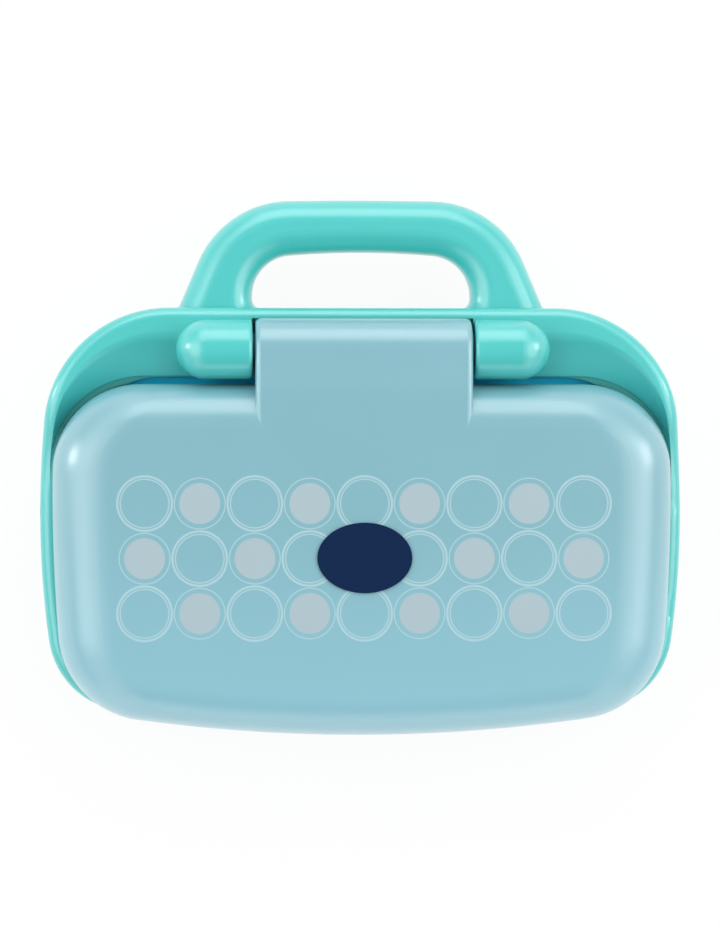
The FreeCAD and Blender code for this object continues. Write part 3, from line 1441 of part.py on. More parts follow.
def battery_bay():
    """Two cells head to tail between a nub plate and a leaf at each end."""
    start = -bay_length / 2 + s.contact_thickness
    lead = s.contact_button
    tail = s.contact_leaf
    solids = []
    contacts = []
    for number, (y, sign) in enumerate(zip(cells, (-1, 1))):
        nub_room = s.cell_nub if sign < 0 else 0
        can_x = start + (lead + nub_room if sign < 0 else tail)
        nub_x = start + lead if sign < 0 else can_x + s.cell_length
        can = rod(f"cell_can_{number}", (can_x, y, cell_z), s.cell_radius, s.cell_length, ALONG_X)
        nub = rod(f"cell_nub_{number}", (nub_x, y, cell_z), s.cell_nub_radius, s.cell_nub, ALONG_X)
        solids.append(fuse(f"cell_{number}", can, nub))
        for end in (-1, 1):
            name = f"contact_{number}_{'low' if end < 0 else 'high'}"
            contacts.append(contact(name, y, end, is_button=end == sign))
    parts["battery_cells"] = group("battery_cells", solids)
    parts["battery_contacts"] = group("battery_contacts", contacts)
    outline = rounded(size(0), bay_y, bay_length + (s.door_lap - s.door_clearance) * 2,
                      s.bay_width + (s.door_lap - s.door_clearance) * 2, s.door_corner - s.door_clearance)
    sheet_body = plate("door_sheet", outline, s.foot_height, floor)
    way = rod("door_screw_way", (0, door_screw_y, s.foot_height - s.wall),
              s.small_screw_radius + s.hole_clearance, s.wall * 3)
    seat = rod("door_head_way", (0, door_screw_y, s.foot_height - s.wall),
               s.small_head_radius + s.hole_clearance, s.wall + s.small_head)
    parts["battery_door"] = cut("battery_door", sheet_body, way, seat)
    parts["battery_door_screw"] = screw("battery_door_screw", size(0), door_screw_y,
                                        s.foot_height + s.small_head, s.small_screw_radius,
                                        s.door_screw_length, s.small_head_radius, s.small_head)


def contact(name, y, end, is_button):
    """Sprung metal plate on an end wall of the bay, with a button or a leaf towards the cell."""
    half = s.contact_size / 2
    wall_x = end * bay_length / 2
    inner_x = wall_x - end * s.contact_thickness
    low_x, high_x = (inner_x, wall_x) if end > 0 else (wall_x, inner_x)
    sheet_box = box(f"{name}_plate", (low_x, y - half, cell_z - half), (high_x, y + half, cell_z + half))
    reach = s.contact_button if is_button else s.contact_leaf
    start = inner_x - reach if end > 0 else inner_x
    if is_button:
        button = rod(f"{name}_button", (start, y, cell_z), s.cell_nub_radius, reach, ALONG_X)
        return fuse(name, sheet_box, button)
    leaf = taper(f"{name}_leaf", (inner_x, y, cell_z), half * LEAF_FOOT, s.cell_nub_radius, reach)
    leaf.Placement = Placement(leaf.Placement.Base, Rotation(Vector(0, 1, 0), -90 * end))
    return fuse(name, sheet_box, leaf)


# Wires that the cases hold along their whole route

def tube(name, points, radius, bend):
    """Round wire along straight runs joined by arcs of one radius."""
    points = [Vector(*(size(part).number for part in point)) for point in points]
    bend = bend.number
    edges = []
    start = points[0]
    for before, corner, after in zip(points, points[1:], points[2:]):
        back = (before - corner).normalize()
        ahead = (after - corner).normalize()
        turn = math.pi - back.getAngle(ahead)
        reach = bend * math.tan(turn / 2)
        middle = corner + (back + ahead).normalize() * (bend / math.cos(turn / 2) - bend)
        edges.append(Part.LineSegment(start, corner + back * reach).toShape())
        edges.append(Part.Arc(corner + back * reach, middle, corner + ahead * reach).toShape())
        start = corner + ahead * reach
    edges.append(Part.LineSegment(start, points[-1]).toShape())
    section = Part.Wire(Part.Circle(points[0], points[1] - points[0], radius.number).toShape())
    item = doc.addObject("Part::Feature", name)
    item.Shape = Part.Wire(edges).makePipeShell([section], True, False)
    item.Placement = Placement()
    return item


def wires():
    """Leads of the cells and the speaker, and the cable through the left hinge pin."""
    lead_z = cell_z + s.contact_size / 2
    lead_start = bay_length / 2
    parts["battery_leads"] = group("battery_leads", [
        tube(f"battery_lead_{number}", [(lead_start, y, lead_z), (lead_start + s.lead_reach, y, lead_z),
                                        (lead_start + s.lead_reach, y, board_low)], s.lead_radius, s.lead_bend)
        for number, y in enumerate(cells)])
    flange_top = floor + s.speaker_flange
    lead_middle = (flange_top + board_low) / 2
    lead_x = speaker_x + s.speaker_radius - s.lead_radius * 2
    speaker_leads = []
    for side, sign in SIDES:
        lead_y = speaker_y + sign * s.lead_radius * 2
        route = [(lead_x, lead_y, flange_top), (lead_x, lead_y, lead_middle),
                 (lead_x + s.lead_reach, lead_y, lead_middle), (lead_x + s.lead_reach, lead_y, board_low)]
        speaker_leads.append(tube(f"speaker_lead_{side}", route, s.lead_radius, s.lead_bend))
    parts["speaker_leads"] = group("speaker_leads", speaker_leads)
    base_end = -(tab_half - s.tab_end_wall - s.pin_head - s.key_rest_gap) + s.pin_head
    socket_z = board_top + s.socket_height / 2
    base_route = [(-cable_x, socket_y, socket_z), (-cable_x, hinge_y, socket_z), (-cable_x, hinge_y, hinge_z),
                  (base_end, hinge_y, hinge_z)]
    parts["hinge_cable_base"] = tube("hinge_cable_base", base_route, s.cable_radius, s.cable_bend)
    socket_rear = screen_y + s.lid_board_depth / 2 + s.socket_depth
    lid_route = [(base_end, hinge_y, hinge_z), (-s.lid_cable_x, hinge_y, hinge_z),
                 (-s.lid_cable_x, socket_rear, hinge_z)]
    parts["hinge_cable_lid"] = tube("hinge_cable_lid", lid_route, s.cable_radius, s.cable_bend)


# Assembly

parts = {}
parts["base_bottom_case"] = bottom_case()
parts["base_top_case"] = top_case()
parts["keyboard_deck"] = deck()
for number in range(len(key_spots)):
    parts[f"key_{number}"] = key(number)
parts["music_button"] = round_piece("music_button", -1)
parts["light_button"] = round_piece("light_button", 1)
parts["touch_pad"] = touch_pad()
parts["power_slider"] = power_slider()
parts["lid_cover"] = lid_cover()
parts["lid_bezel"] = lid_bezel()
screen_stack()
lid_electronics()
parts["badge_plate"] = badge()
parts["lid_bumpers"] = group("lid_bumpers", [
    rod(f"bumper_{number}", (x, y, s.rim_height + s.bumper_gap), s.bumper_radius,
        bezel_low - s.rim_height - s.bumper_gap)
    for number, (x, y) in enumerate(bumper_spots)])
for side, sign in SIDES:
    parts[f"hinge_pin_{side}"] = hinge_pin(side, sign)
parts["hinge_washers"] = group("hinge_washers", [hinge_washer(side, sign) for side, sign in SIDES])
base_electronics()
speaker_unit()
battery_bay()
wires()
parts["case_screws"] = group("case_screws", [
    screw(f"case_screw_{name}", x, y, s.head_seat, s.screw_radius, s.screw_length, s.head_radius, s.head_height)
    for name, (x, y, _) in case_screw_spots.items()])
parts["rubber_feet"] = group("rubber_feet", [
    rod(f"foot_{number}", (x, y, 0), s.foot_radius, s.foot_height + s.foot_recess)
    for number, (x, y) in enumerate(feet_spots)])
doc.recompute()

for item in doc.Objects:
    if {"Invalid", "Error"} & set(item.State):
        raise RuntimeError(f"{item.Name} failed: {item.State}")
for node, item in parts.items():
    item.Label = node
    if item.Shape.isNull() or not item.Shape.isValid() or not item.Shape.Solids:
        raise RuntimeError(f"{node} has no valid solid")
os.makedirs("parts", exist_ok=True)
for node, item in parts.items():
    item.Shape.exportStep(f"parts/{node}.step")
    print(node, len(item.Shape.Solids), round(item.Shape.Volume))
print(len(parts), "nodes")
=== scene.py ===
import logging
import math
from dataclasses import dataclass
from enum import Enum
from typing import Any, Callable, Union

import bmesh
import bpy
from mathutils import Matrix, Vector


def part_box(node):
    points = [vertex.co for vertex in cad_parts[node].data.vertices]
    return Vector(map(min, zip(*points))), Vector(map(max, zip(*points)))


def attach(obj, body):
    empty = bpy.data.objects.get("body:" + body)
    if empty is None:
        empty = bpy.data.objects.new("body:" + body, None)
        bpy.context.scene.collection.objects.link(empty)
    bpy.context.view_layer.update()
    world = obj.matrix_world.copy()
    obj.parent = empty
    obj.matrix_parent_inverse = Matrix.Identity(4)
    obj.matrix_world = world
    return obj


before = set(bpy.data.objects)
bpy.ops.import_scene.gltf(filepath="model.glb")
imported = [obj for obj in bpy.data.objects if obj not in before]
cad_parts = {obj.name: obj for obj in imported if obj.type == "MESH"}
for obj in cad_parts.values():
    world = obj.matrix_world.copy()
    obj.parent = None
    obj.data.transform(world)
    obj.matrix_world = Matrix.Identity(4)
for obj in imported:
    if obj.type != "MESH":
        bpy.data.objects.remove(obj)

log = logging.getLogger("toy_laptop")

Colour = tuple[float, float, float, float]
Point = tuple[float, float, float]
Spot = tuple[float, float]
Polygon = tuple[Spot, ...]
Number = Union["Tone", float]

MM = 0.001
WELD = 1e-5
KEY_COUNT = 10


def colour(red: int, green: int, blue: int) -> Colour:
    """Turn a screen colour into a shader colour.

    Args:
        red: Red part, 0 to 255.
        green: Green part, 0 to 255.
        blue: Blue part, 0 to 255.

    Returns:
        The linear colour with full alpha.
    """
    def linear(part: int) -> float:
        """Linear value of one part."""
        share = part / 255
        return share / 12.92 if share <= 0.04045 else ((share + 0.055) / 1.055) ** 2.4
    return (linear(red), linear(green), linear(blue), 1.0)


def shade(tone: Colour, amount: float) -> Colour:
    """Darker or lighter copy of a colour.

    Args:
        tone: The colour.
        amount: Factor on each part.

    Returns:
        The changed colour.
    """
    return (tone[0] * amount, tone[1] * amount, tone[2] * amount, 1.0)


class Tone:
    """A value on a surface: a node's output that can be reckoned with."""

    def __init__(self, shader: "Shader", socket: bpy.types.NodeSocket) -> None:
        """Hold an output socket of a shader's tree."""
        self.shader = shader
        self.socket = socket

    def other(self, name: str) -> "Tone":
        """Another output of the same node."""
        return Tone(self.shader, self.socket.node.outputs[name])

    def math(self, operation: str, *others: Number) -> "Tone":
        """Any other Math operation on this value.

        Args:
            operation: The Math node's operation.
            others: Its further values.

        Returns:
            The result.
        """
        inputs = dict(enumerate((self, *others)))
        return self.shader.node("ShaderNodeMath", {"operation": operation}, inputs)

    def _swapped(self, operation: str, first: Number) -> "Tone":
        """Math with this value in second place."""
        return self.shader.node("ShaderNodeMath", {"operation": operation}, {0: first, 1: self})

    def __add__(self, other: Number) -> "Tone":
        """Sum."""
        return self.math("ADD", other)

    def __sub__(self, other: Number) -> "Tone":
        """Difference."""
        return self.math("SUBTRACT", other)

    def __rsub__(self, other: Number) -> "Tone":
        """Difference, reflected."""
        return self._swapped("SUBTRACT", other)

    def __mul__(self, other: Number) -> "Tone":
        """Product."""
        return self.math("MULTIPLY", other)

    def __truediv__(self, other: Number) -> "Tone":
        """Quotient."""
        return self.math("DIVIDE", other)

    def __lt__(self, other: Number) -> "Tone":
        """One where this value is the smaller."""
        return self.math("LESS_THAN", other)

    def __gt__(self, other: Number) -> "Tone":
        """One where this value is the greater."""
        return self.math("GREATER_THAN", other)

    def __abs__(self) -> "Tone":
        """Size without sign."""
        return self.math("ABSOLUTE")

    def least(self, other: Number) -> "Tone":
        """Smaller of two values."""
        return self.math("MINIMUM", other)

    def most(self, other: Number) -> "Tone":
        """Greater of two values."""
        return self.math("MAXIMUM", other)

    def clamped(self) -> "Tone":
        """The value kept between nought and one."""
        return self.most(0.0).least(1.0)


class Shader:
    """A node tree that is written as expressions."""

    def __init__(self, tree: bpy.types.NodeTree) -> None:
        """Start with an empty tree."""
        self.tree = tree
        self.tree.nodes.clear()

    @classmethod
    def for_material(cls, name: str) -> tuple["Shader", bpy.types.Material]:
        """New material with an empty tree.

        Args:
            name: The material's name.

        Returns:
            The tree's shader and the material.
        """
        material = bpy.data.materials.new(name)
        material.use_nodes = True
        return cls(material.node_tree), material

    def node(self, kind: str, settings: dict[str, Any] | None = None,
             inputs: dict[int | str, Any] | None = None, output: int | str = 0) -> Tone:
        """Add a node.

        Args:
            kind: The node's type.
            settings: Its settings, set before its sockets; "stops" are a ramp's.
            inputs: Values or links of its sockets.
            output: The output that is wanted.

        Returns:
            That output.
        """
        made = self.tree.nodes.new(kind)
        for key, setting in (settings or {}).items():
            if key == "stops":
                self._set_stops(made.color_ramp, setting)
            else:
                setattr(made, key, setting)
        for key, given in (inputs or {}).items():
            self.feed(made.inputs[key], given)
        return Tone(self, made.outputs[output])

    def feed(self, socket: bpy.types.NodeSocket, given: Any) -> None:
        """Link a tone to a socket, or set the socket's own value."""
        if isinstance(given, Tone):
            self.tree.links.new(given.socket, socket)
        else:
            socket.default_value = given

    @staticmethod
    def _set_stops(ramp: bpy.types.ColorRamp, stops: list[tuple[float, Colour]]) -> None:
        """Set a ramp's stops in order."""
        while len(ramp.elements) < len(stops):
            ramp.elements.new(0.5)
        for element, (place, tone) in zip(ramp.elements, stops):
            element.position = place
            element.color = tone

    def mix(self, factor: Number, first: Any, second: Any) -> Tone:
        """Blend two colours.

        Args:
            factor: Share of the second colour.
            first: The first colour.
            second: The second colour.

        Returns:
            The blend.
        """
        return self.node("ShaderNodeMix", {"data_type": "RGBA"}, {0: factor, 6: first, 7: second}, 2)

    def place(self) -> Tone:
        """Object coordinates, in metres."""
        return self.node("ShaderNodeTexCoord", output="Object")

    def parts(self, place: Tone) -> tuple[Tone, Tone, Tone]:
        """Split a place into X, Y and Z."""
        first = self.node("ShaderNodeSeparateXYZ", inputs={0: place}, output="X")
        return first, first.other("Y"), first.other("Z")

    def noise(self, place: Tone, length: float, detail: float = 2.0) -> Tone:
        """Noise with features of about a given length.

        Args:
            place: Where it is read.
            length: Feature length in metres.
            detail: Octaves.

        Returns:
            A value about one half.
        """
        inputs = {"Vector": place, "Scale": 1 / length, "Detail": detail}
        return self.node("ShaderNodeTexNoise", inputs=inputs)

    def bump(self, height: Tone, distance: float) -> Tone:
        """Normal from a height.

        Args:
            height: The height.
            distance: Metres for a height of one.

        Returns:
            The normal.
        """
        return self.node("ShaderNodeBump", inputs={"Height": height, "Distance": distance, "Strength": 1.0})

    def surface(self, inputs: dict[str, Any]) -> None:
        """Finish a material with one surface.

        Args:
            inputs: Values or links of the surface shader's sockets.
        """
        self.finish(self.node("ShaderNodeBsdfPrincipled", inputs=inputs), "ShaderNodeOutputMaterial")

    def finish(self, shaded: Tone, kind: str) -> None:
        """Link a shader to the tree's output.

        Args:
            shaded: The shader.
            kind: The type of the output node.
        """
        end = self.tree.nodes.new(kind)
        self.feed(end.inputs["Surface"], shaded)


@dataclass(frozen=True)
class Plastic:
    """Moulded plastic with a fine grain and a little cloudiness in its colour."""

    name: str
    tone: Colour
    roughness: float = 0.3
    grain: float = 0.006 * MM
    grain_length: float = 0.7 * MM
    cloud: float = 0.035
    cloud_length: float = 45 * MM
    smear: float = 0.12
    gloss: float = 0.5
    coat: float = 0.0

    def colours(self, shader: Shader, place: Tone) -> Tone:
        """Colour over the surface.

        Args:
            shader: The material's shader.
            place: Object coordinates.

        Returns:
            The colour.
        """
        drift = shader.noise(place, self.cloud_length)
        return shader.mix(drift, shade(self.tone, 1 - self.cloud), shade(self.tone, 1 + self.cloud))

    def roughness_over(self, shader: Shader, place: Tone) -> Tone:
        """Roughness over the surface.

        Args:
            shader: The material's shader.
            place: Object coordinates.

        Returns:
            The roughness.
        """
        smears = shader.noise(place, self.cloud_length / 3, 4.0)
        return smears * self.smear + (self.roughness - self.smear / 2)

    def normal(self, shader: Shader, place: Tone) -> Tone:
        """Normal of the grained surface.

        Args:
            shader: The material's shader.
            place: Object coordinates.

        Returns:
            The normal.
        """
        return shader.bump(shader.noise(place, self.grain_length, 3.0), self.grain)

    def material(self) -> bpy.types.Material:
        """Make the material.

        Returns:
            The material.
        """
        shader, material = Shader.for_material(self.name)
        place = shader.place()
        shader.surface({
            "Base Color": self.colours(shader, place),
            "Roughness": self.roughness_over(shader, place),
            "Normal": self.normal(shader, place),
            "Specular IOR Level": self.gloss,
            "Coat Weight": self.coat,
            "Coat Roughness": self.roughness,
        })
        return material


@dataclass(frozen=True)
class CirclePrint:
    """Printed grid of double rings and ringed dots, taking turns."""

    pitch: float = 21.04 * MM
    middle_y: float = -35.1 * MM
    side_columns: int = 4
    side_rows: int = 1
    ring_radius: float = 10.43 * MM
    ring_half: float = 0.43 * MM
    inner_radius: float = 9.29 * MM
    inner_half: float = 0.24 * MM
    dot_radius: float = 7.83 * MM
    halo_radius: float = 9.7 * MM
    halo_half: float = 0.21 * MM
    softness: float = 0.12 * MM
    lowest: float = 56.5 * MM
    dot_margin: float = 0.484
    ring_margin: float = 0.04

    def _along(self, part: Tone, middle: float, reach: int) -> tuple[Tone, Tone, Tone]:
        """Cells along one axis.

        Args:
            part: The place along the axis.
            middle: Middle of the grid.
            reach: Cells on each side of the middle cell.

        Returns:
            The cell's number, the distance from its middle and from the grid's, in pitches.
        """
        steps = (part - middle) / self.pitch
        cell = steps.math("ROUND").most(-reach).least(reach)
        return cell, abs(steps - cell), abs(steps)

    def _edge(self, inside: Tone) -> Tone:
        """Soft edge of a shape from the distance inside it."""
        return (inside / self.softness + 0.5).clamped()

    def _line(self, distance: Tone, radius: float, half: float) -> Tone:
        """Circular line about a middle."""
        return self._edge(half - abs(distance - radius))

    def masks(self, shader: Shader, place: Tone) -> tuple[Tone, Tone]:
        """Where the two inks lie.

        Args:
            shader: The material's shader.
            place: Object coordinates.

        Returns:
            The masks of the lines and of the filled dots.
        """
        x, y, z = shader.parts(place)
        column, across, off_x = self._along(x, 0.0, self.side_columns)
        row, along, off_y = self._along(y, self.middle_y, self.side_rows)
        is_ring = (column + row).math("FLOORED_MODULO", 2.0)
        own = (across * across + along * along).math("SQRT") * self.pitch
        far = 1 - across.most(along)
        near = across.least(along)
        next_cell = (far * far + near * near).math("SQRT") * self.pitch
        to_ring = own * is_ring + next_cell * (1 - is_ring)
        rings = self._line(to_ring, self.ring_radius, self.ring_half)
        rings = rings.most(self._line(to_ring, self.inner_radius, self.inner_half))
        margin = is_ring * self.ring_margin + self.dot_margin
        within = (off_x < margin + self.side_columns) * (off_y < margin + self.side_rows)
        within = within * (z > self.lowest)
        is_dot = (1 - is_ring) * within
        lines = (rings * within).most(self._line(own, self.halo_radius, self.halo_half) * is_dot)
        return lines, self._edge(self.dot_radius - own) * is_dot


@dataclass(frozen=True)
class Outline:
    """Rounded rectangle or oval on a face, for a printed line or panel."""

    middle: Spot
    half: Spot
    corner: float

    def inside(self, x: Tone, y: Tone) -> Tone:
        """Distance inside the outline.

        Args:
            x: Place across.
            y: Place along.

        Returns:
            Metres inside, negative outside.
        """
        across = abs(x - self.middle[0]) - (self.half[0] - self.corner)
        along = abs(y - self.middle[1]) - (self.half[1] - self.corner)
        out_x = across.most(0.0)
        out_y = along.most(0.0)
        corner = (out_x * out_x + out_y * out_y).math("SQRT")
        return self.corner - corner - across.most(along).least(0.0)


@dataclass(frozen=True)
class Shoulder:
    """Gentle roll of the lid's top ahead of its rounded sides."""

    waist_y: float = -10.0 * MM
    side_radius: float = 680 * MM
    edge: Outline = Outline((0.0, -35 * MM), (119.8 * MM, 85 * MM), 55 * MM)
    start: float = 23.0 * MM
    peak_at: float = 17.0 * MM
    slope: float = 0.2

    def height(self, shader: Shader, place: Tone) -> Tone:
        """Height of the roll over the surface.

        Args:
            shader: The material's shader.
            place: Object coordinates.

        Returns:
            Metres, nought on the flat top and falling towards the sides.
        """
        x, y, _ = shader.parts(place)
        off = y - self.waist_y
        inside = self.edge.inside(abs(x) + off * off / (2 * self.side_radius), y)
        rise = (self.start - inside).most(0.0).least(self.start - self.peak_at)
        rest = inside.most(0.0).least(self.peak_at)
        first = rise * rise / (2 * (self.start - self.peak_at))
        second = (self.peak_at * self.peak_at - rest * rest) / (2 * self.peak_at)
        return (first + second) * -self.slope


@dataclass(frozen=True)
class PrintedPlastic(Plastic):
    """Plastic with the circles printed on its upper face, and painted light that lightens it towards the
    front.
    """

    line_ink: Colour = colour(200, 224, 230)
    dot_ink: Colour = colour(171, 190, 198)
    line_cover: float = 0.48
    dot_cover: float = 0.92
    # Painted light: a lighter colour blended in towards the front edge, standing in for the light that falls
    # there.
    front_painted_light: Colour = colour(141, 198, 213)
    front_from: float = 2 * MM
    front_run: float = 100 * MM
    circles: CirclePrint = CirclePrint()
    shoulder: Shoulder = Shoulder()

    def normal(self, shader: Shader, place: Tone) -> Tone:
        """Normal of the grained surface with its rolled sides."""
        grain = shader.noise(place, self.grain_length, 3.0) * self.grain
        return shader.bump(grain + self.shoulder.height(shader, place), 1.0)

    def colours(self, shader: Shader, place: Tone) -> Tone:
        """Colour of the plastic with painted light towards the front, and the two inks."""
        _, y, _ = shader.parts(place)
        # Painted light: the colour turns lighter towards the front.
        forward = ((self.front_from - y) / self.front_run).clamped()
        plain = shader.mix(forward * forward, Plastic.colours(self, shader, place), self.front_painted_light)
        lines, dots = self.circles.masks(shader, place)
        dotted = shader.mix(dots * self.dot_cover, plain, self.dot_ink)
        return shader.mix(lines * self.line_cover, dotted, self.line_ink)


@dataclass(frozen=True)
class PanelPlastic(Plastic):
    """Plastic with printed outlines on a face: a filled panel or a line."""

    ink: Colour = colour(160, 208, 222)
    outlines: tuple[Outline, ...] = ()
    line_width: float = 0.0
    lowest: float = -1.0
    highest: float = 1.0
    softness: float = 0.12 * MM

    def colours(self, shader: Shader, place: Tone) -> Tone:
        """Colour of the plastic and the printed ink."""
        plain = Plastic.colours(self, shader, place)
        x, y, z = shader.parts(place)
        face = (z > self.lowest) * (z < self.highest)
        for outline in self.outlines:
            depth = outline.inside(x, y)
            if self.line_width:
                depth = self.line_width / 2 - abs(depth)
            cover = (depth / self.softness + 0.5).clamped() * face
            plain = shader.mix(cover, plain, self.ink)
        return plain


@dataclass(frozen=True)
class BezelPlastic(PanelPlastic):
    """Plastic of the lid's inside, with painted shade at the end that turns in the hinge."""

    # Painted shade: a dark teal on the end that sits in the hinge gap.
    end_painted_shade: Colour = colour(8, 92, 98)
    end_from: float = 54 * MM

    def colours(self, shader: Shader, place: Tone) -> Tone:
        """Colour of the bezel, with painted shade on its end."""
        _, y, _ = shader.parts(place)
        # Painted shade: the end beyond end_from turns dark teal.
        return shader.mix(y > self.end_from, PanelPlastic.colours(self, shader, place), self.end_painted_shade)


@dataclass(frozen=True)
class PaintedShadePlastic(Plastic):
    """Plastic with painted shade on the low ledge round the lid's rear corners, and a darker painted shadow
    along the lid's edge.
    """

    # Both colours are painted shade: the ledge and the strip along the lid's edge are darkened where the
    # lid's shadow falls.
    painted_shadow: Colour = colour(2, 56, 66)
    painted_ledge_shade: Colour = colour(16, 138, 134)
    lowest: float = 33.8 * MM
    highest: float = 34.5 * MM
    softness: float = 0.4 * MM
    edge: Outline = Outline((0.0, -36 * MM), (119.8 * MM, 68 * MM), 34 * MM)
    waist_y: float = -10.0 * MM
    side_radius: float = 680 * MM
    under: float = 0.5 * MM
    painted_shadow_from: float = 1.1 * MM
    reach: float = 3.5 * MM
    from_y: float = 4 * MM
    fade: float = 12 * MM
    dulling: float = 0.7

    def _ledge(self, shader: Shader, place: Tone) -> tuple[Tone, Tone]:
        """Where the ledge with its painted shade and the painted shadow on it lie.

        Args:
            shader: The material's shader.
            place: Object coordinates.

        Returns:
            The masks of the shaded ledge and of its painted shadow.
        """
        x, y, z = shader.parts(place)
        low = (z > self.lowest) * ((self.highest - z) / self.softness).clamped()
        off = y - self.waist_y
        inside = self.edge.inside(abs(x) + off * off / (2 * self.side_radius), y)
        rim = (inside < self.under) * (inside > -self.reach) * ((y - self.from_y) / self.fade).clamped()
        return low * rim, ((inside + self.painted_shadow_from) / self.softness).clamped()

    def colours(self, shader: Shader, place: Tone) -> Tone:
        """Colour of the plastic, with painted shade on its ledge and a darker painted shadow along the lid's
        edge.
        """
        ledge, painted_shadow = self._ledge(shader, place)
        # Painted shade on the ledge, darkest in a painted shadow along the lid's edge.
        tone = shader.mix(painted_shadow, self.painted_ledge_shade, self.painted_shadow)
        return shader.mix(ledge, Plastic.colours(self, shader, place), tone)

    def roughness_over(self, shader: Shader, place: Tone) -> Tone:
        """Roughness, dull on the ledge."""
        ledge, _ = self._ledge(shader, place)
        return (Plastic.roughness_over(self, shader, place) + ledge * self.dulling).least(1.0)


@dataclass(frozen=True)
class Metal:
    """Plated or sintered metal with fine streaks."""

    name: str
    tone: Colour
    roughness: float = 0.3
    streak: Point = (0.15 * MM, 1.2 * MM, 1.2 * MM)
    streak_depth: float = 0.004 * MM
    streak_share: float = 0.25
    polish: float = 0.12
    cloud_length: float = 6 * MM

    def material(self) -> bpy.types.Material:
        """Make the material.

        Returns:
            The material.
        """
        shader, material = Shader.for_material(self.name)
        place = shader.place()
        scale = tuple(MM / part for part in self.streak)
        stretch = shader.node("ShaderNodeMapping", inputs={"Vector": place, "Scale": scale})
        streaks = shader.noise(stretch, MM, 3.0)
        drift = shader.noise(place, self.cloud_length)
        shader.surface({
            "Base Color": shader.mix(drift, shade(self.tone, 0.9), shade(self.tone, 1.08)),
            "Roughness": streaks * self.streak_share + (self.roughness - self.polish),
            "Metallic": 1.0,
            "Normal": shader.bump(streaks, self.streak_depth),
        })
        return material


@dataclass(frozen=True)
class BandedJacket:
    """Printed jacket of a dry cell, with a coloured band at one end."""

    name: str
    body: Colour
    band: Colour
    band_from: float
    middle_y: float = -8.8 * MM
    softness: float = 0.2 * MM
    cloud_length: float = 9 * MM

    def material(self) -> bpy.types.Material:
        """Make the material.

        Returns:
            The material.
        """
        shader, material = Shader.for_material(self.name)
        place = shader.place()
        x, y, _ = shader.parts(place)
        towards = (y - self.middle_y).math("SIGN")
        band = ((x * towards - self.band_from) / self.softness).clamped()
        drift = shader.noise(place, self.cloud_length)
        shader.surface({
            "Base Color": shader.mix(band, shader.mix(drift, shade(self.body, 0.9), self.body), self.band),
            "Roughness": drift * 0.15 + 0.25,
            "Metallic": 0.4,
        })
        return material


@dataclass(frozen=True)
class Board:
    """Circuit board with a grid of soldered pads."""

    name: str
    mask: Colour
    pad: Colour
    pitch: float = 5.08 * MM
    pad_radius: float = 0.8 * MM
    track_half: float = 0.3 * MM
    softness: float = 0.1 * MM
    relief: float = 0.05 * MM
    cloud_length: float = 20 * MM

    def material(self) -> bpy.types.Material:
        """Make the material.

        Returns:
            The material.
        """
        shader, material = Shader.for_material(self.name)
        place = shader.place()
        x, y, _ = shader.parts(place)
        across = (x / self.pitch).math("FRACT") - 0.5
        along = (y / self.pitch).math("FRACT") - 0.5
        reach = (across * across + along * along).math("SQRT") * self.pitch
        pads = ((self.pad_radius - reach) / self.softness + 0.5).clamped()
        tracks = ((self.track_half - abs(along * self.pitch)) / self.softness + 0.5).clamped()
        drift = shader.noise(place, self.cloud_length)
        sheet = shader.mix(tracks * 0.35, shade(self.mask, 0.9), shade(self.mask, 1.6))
        shader.surface({
            "Base Color": shader.mix(pads, sheet, self.pad),
            "Roughness": drift * 0.1 + 0.35,
            "Metallic": pads * 0.8,
            "Normal": shader.bump(pads.most(tracks * 0.4), self.relief),
        })
        return material


@dataclass(frozen=True)
class Clear:
    """Clear polished sheet."""

    name: str
    tone: Colour
    roughness: float = 0.03
    smear: float = 0.05
    smear_length: float = 12 * MM
    refraction: float = 1.49

    def material(self) -> bpy.types.Material:
        """Make the material.

        Returns:
            The material.
        """
        shader, material = Shader.for_material(self.name)
        place = shader.place()
        smears = shader.noise(place, self.smear_length, 4.0)
        shader.surface({
            "Base Color": self.tone,
            "Roughness": smears * self.smear + self.roughness,
            "Transmission Weight": 1.0,
            "IOR": self.refraction,
        })
        return material


@dataclass(frozen=True)
class Display:
    """Grey-green display with a fine grid of picture points."""

    name: str
    tone: Colour
    grid: Colour
    pitch: float = 1.3 * MM
    line_from: float = 0.42
    softness: float = 0.05
    cloud_length: float = 60 * MM

    def material(self) -> bpy.types.Material:
        """Make the material.

        Returns:
            The material.
        """
        shader, material = Shader.for_material(self.name)
        place = shader.place()
        x, y, _ = shader.parts(place)
        across = abs((x / self.pitch).math("FRACT") - 0.5)
        along = abs((y / self.pitch).math("FRACT") - 0.5)
        lines = ((across.most(along) - self.line_from) / self.softness).clamped()
        drift = shader.noise(place, self.cloud_length)
        glass = shader.mix(drift, shade(self.tone, 0.94), shade(self.tone, 1.06))
        shader.surface({
            "Base Color": shader.mix(lines * 0.5, glass, self.grid),
            "Roughness": drift * 0.06 + 0.2,
        })
        return material


@dataclass(frozen=True)
class TwoWires:
    """Insulation of a pair of wires, one colour on each side of a line."""

    name: str
    first: Colour
    second: Colour
    border_y: float
    cloud_length: float = 4 * MM

    def material(self) -> bpy.types.Material:
        """Make the material.

        Returns:
            The material.
        """
        shader, material = Shader.for_material(self.name)
        place = shader.place()
        _, y, _ = shader.parts(place)
        drift = shader.noise(place, self.cloud_length)
        shader.surface({
            "Base Color": shader.mix(y > self.border_y, self.first, self.second),
            "Roughness": drift * 0.15 + 0.35,
        })
        return material


Finish = Union[Plastic, Metal, BandedJacket, Board, Clear, Display, TwoWires]


class Facing(Enum):
    """Which way a printed or raised mark faces."""

    UP = 1
    DOWN = -1


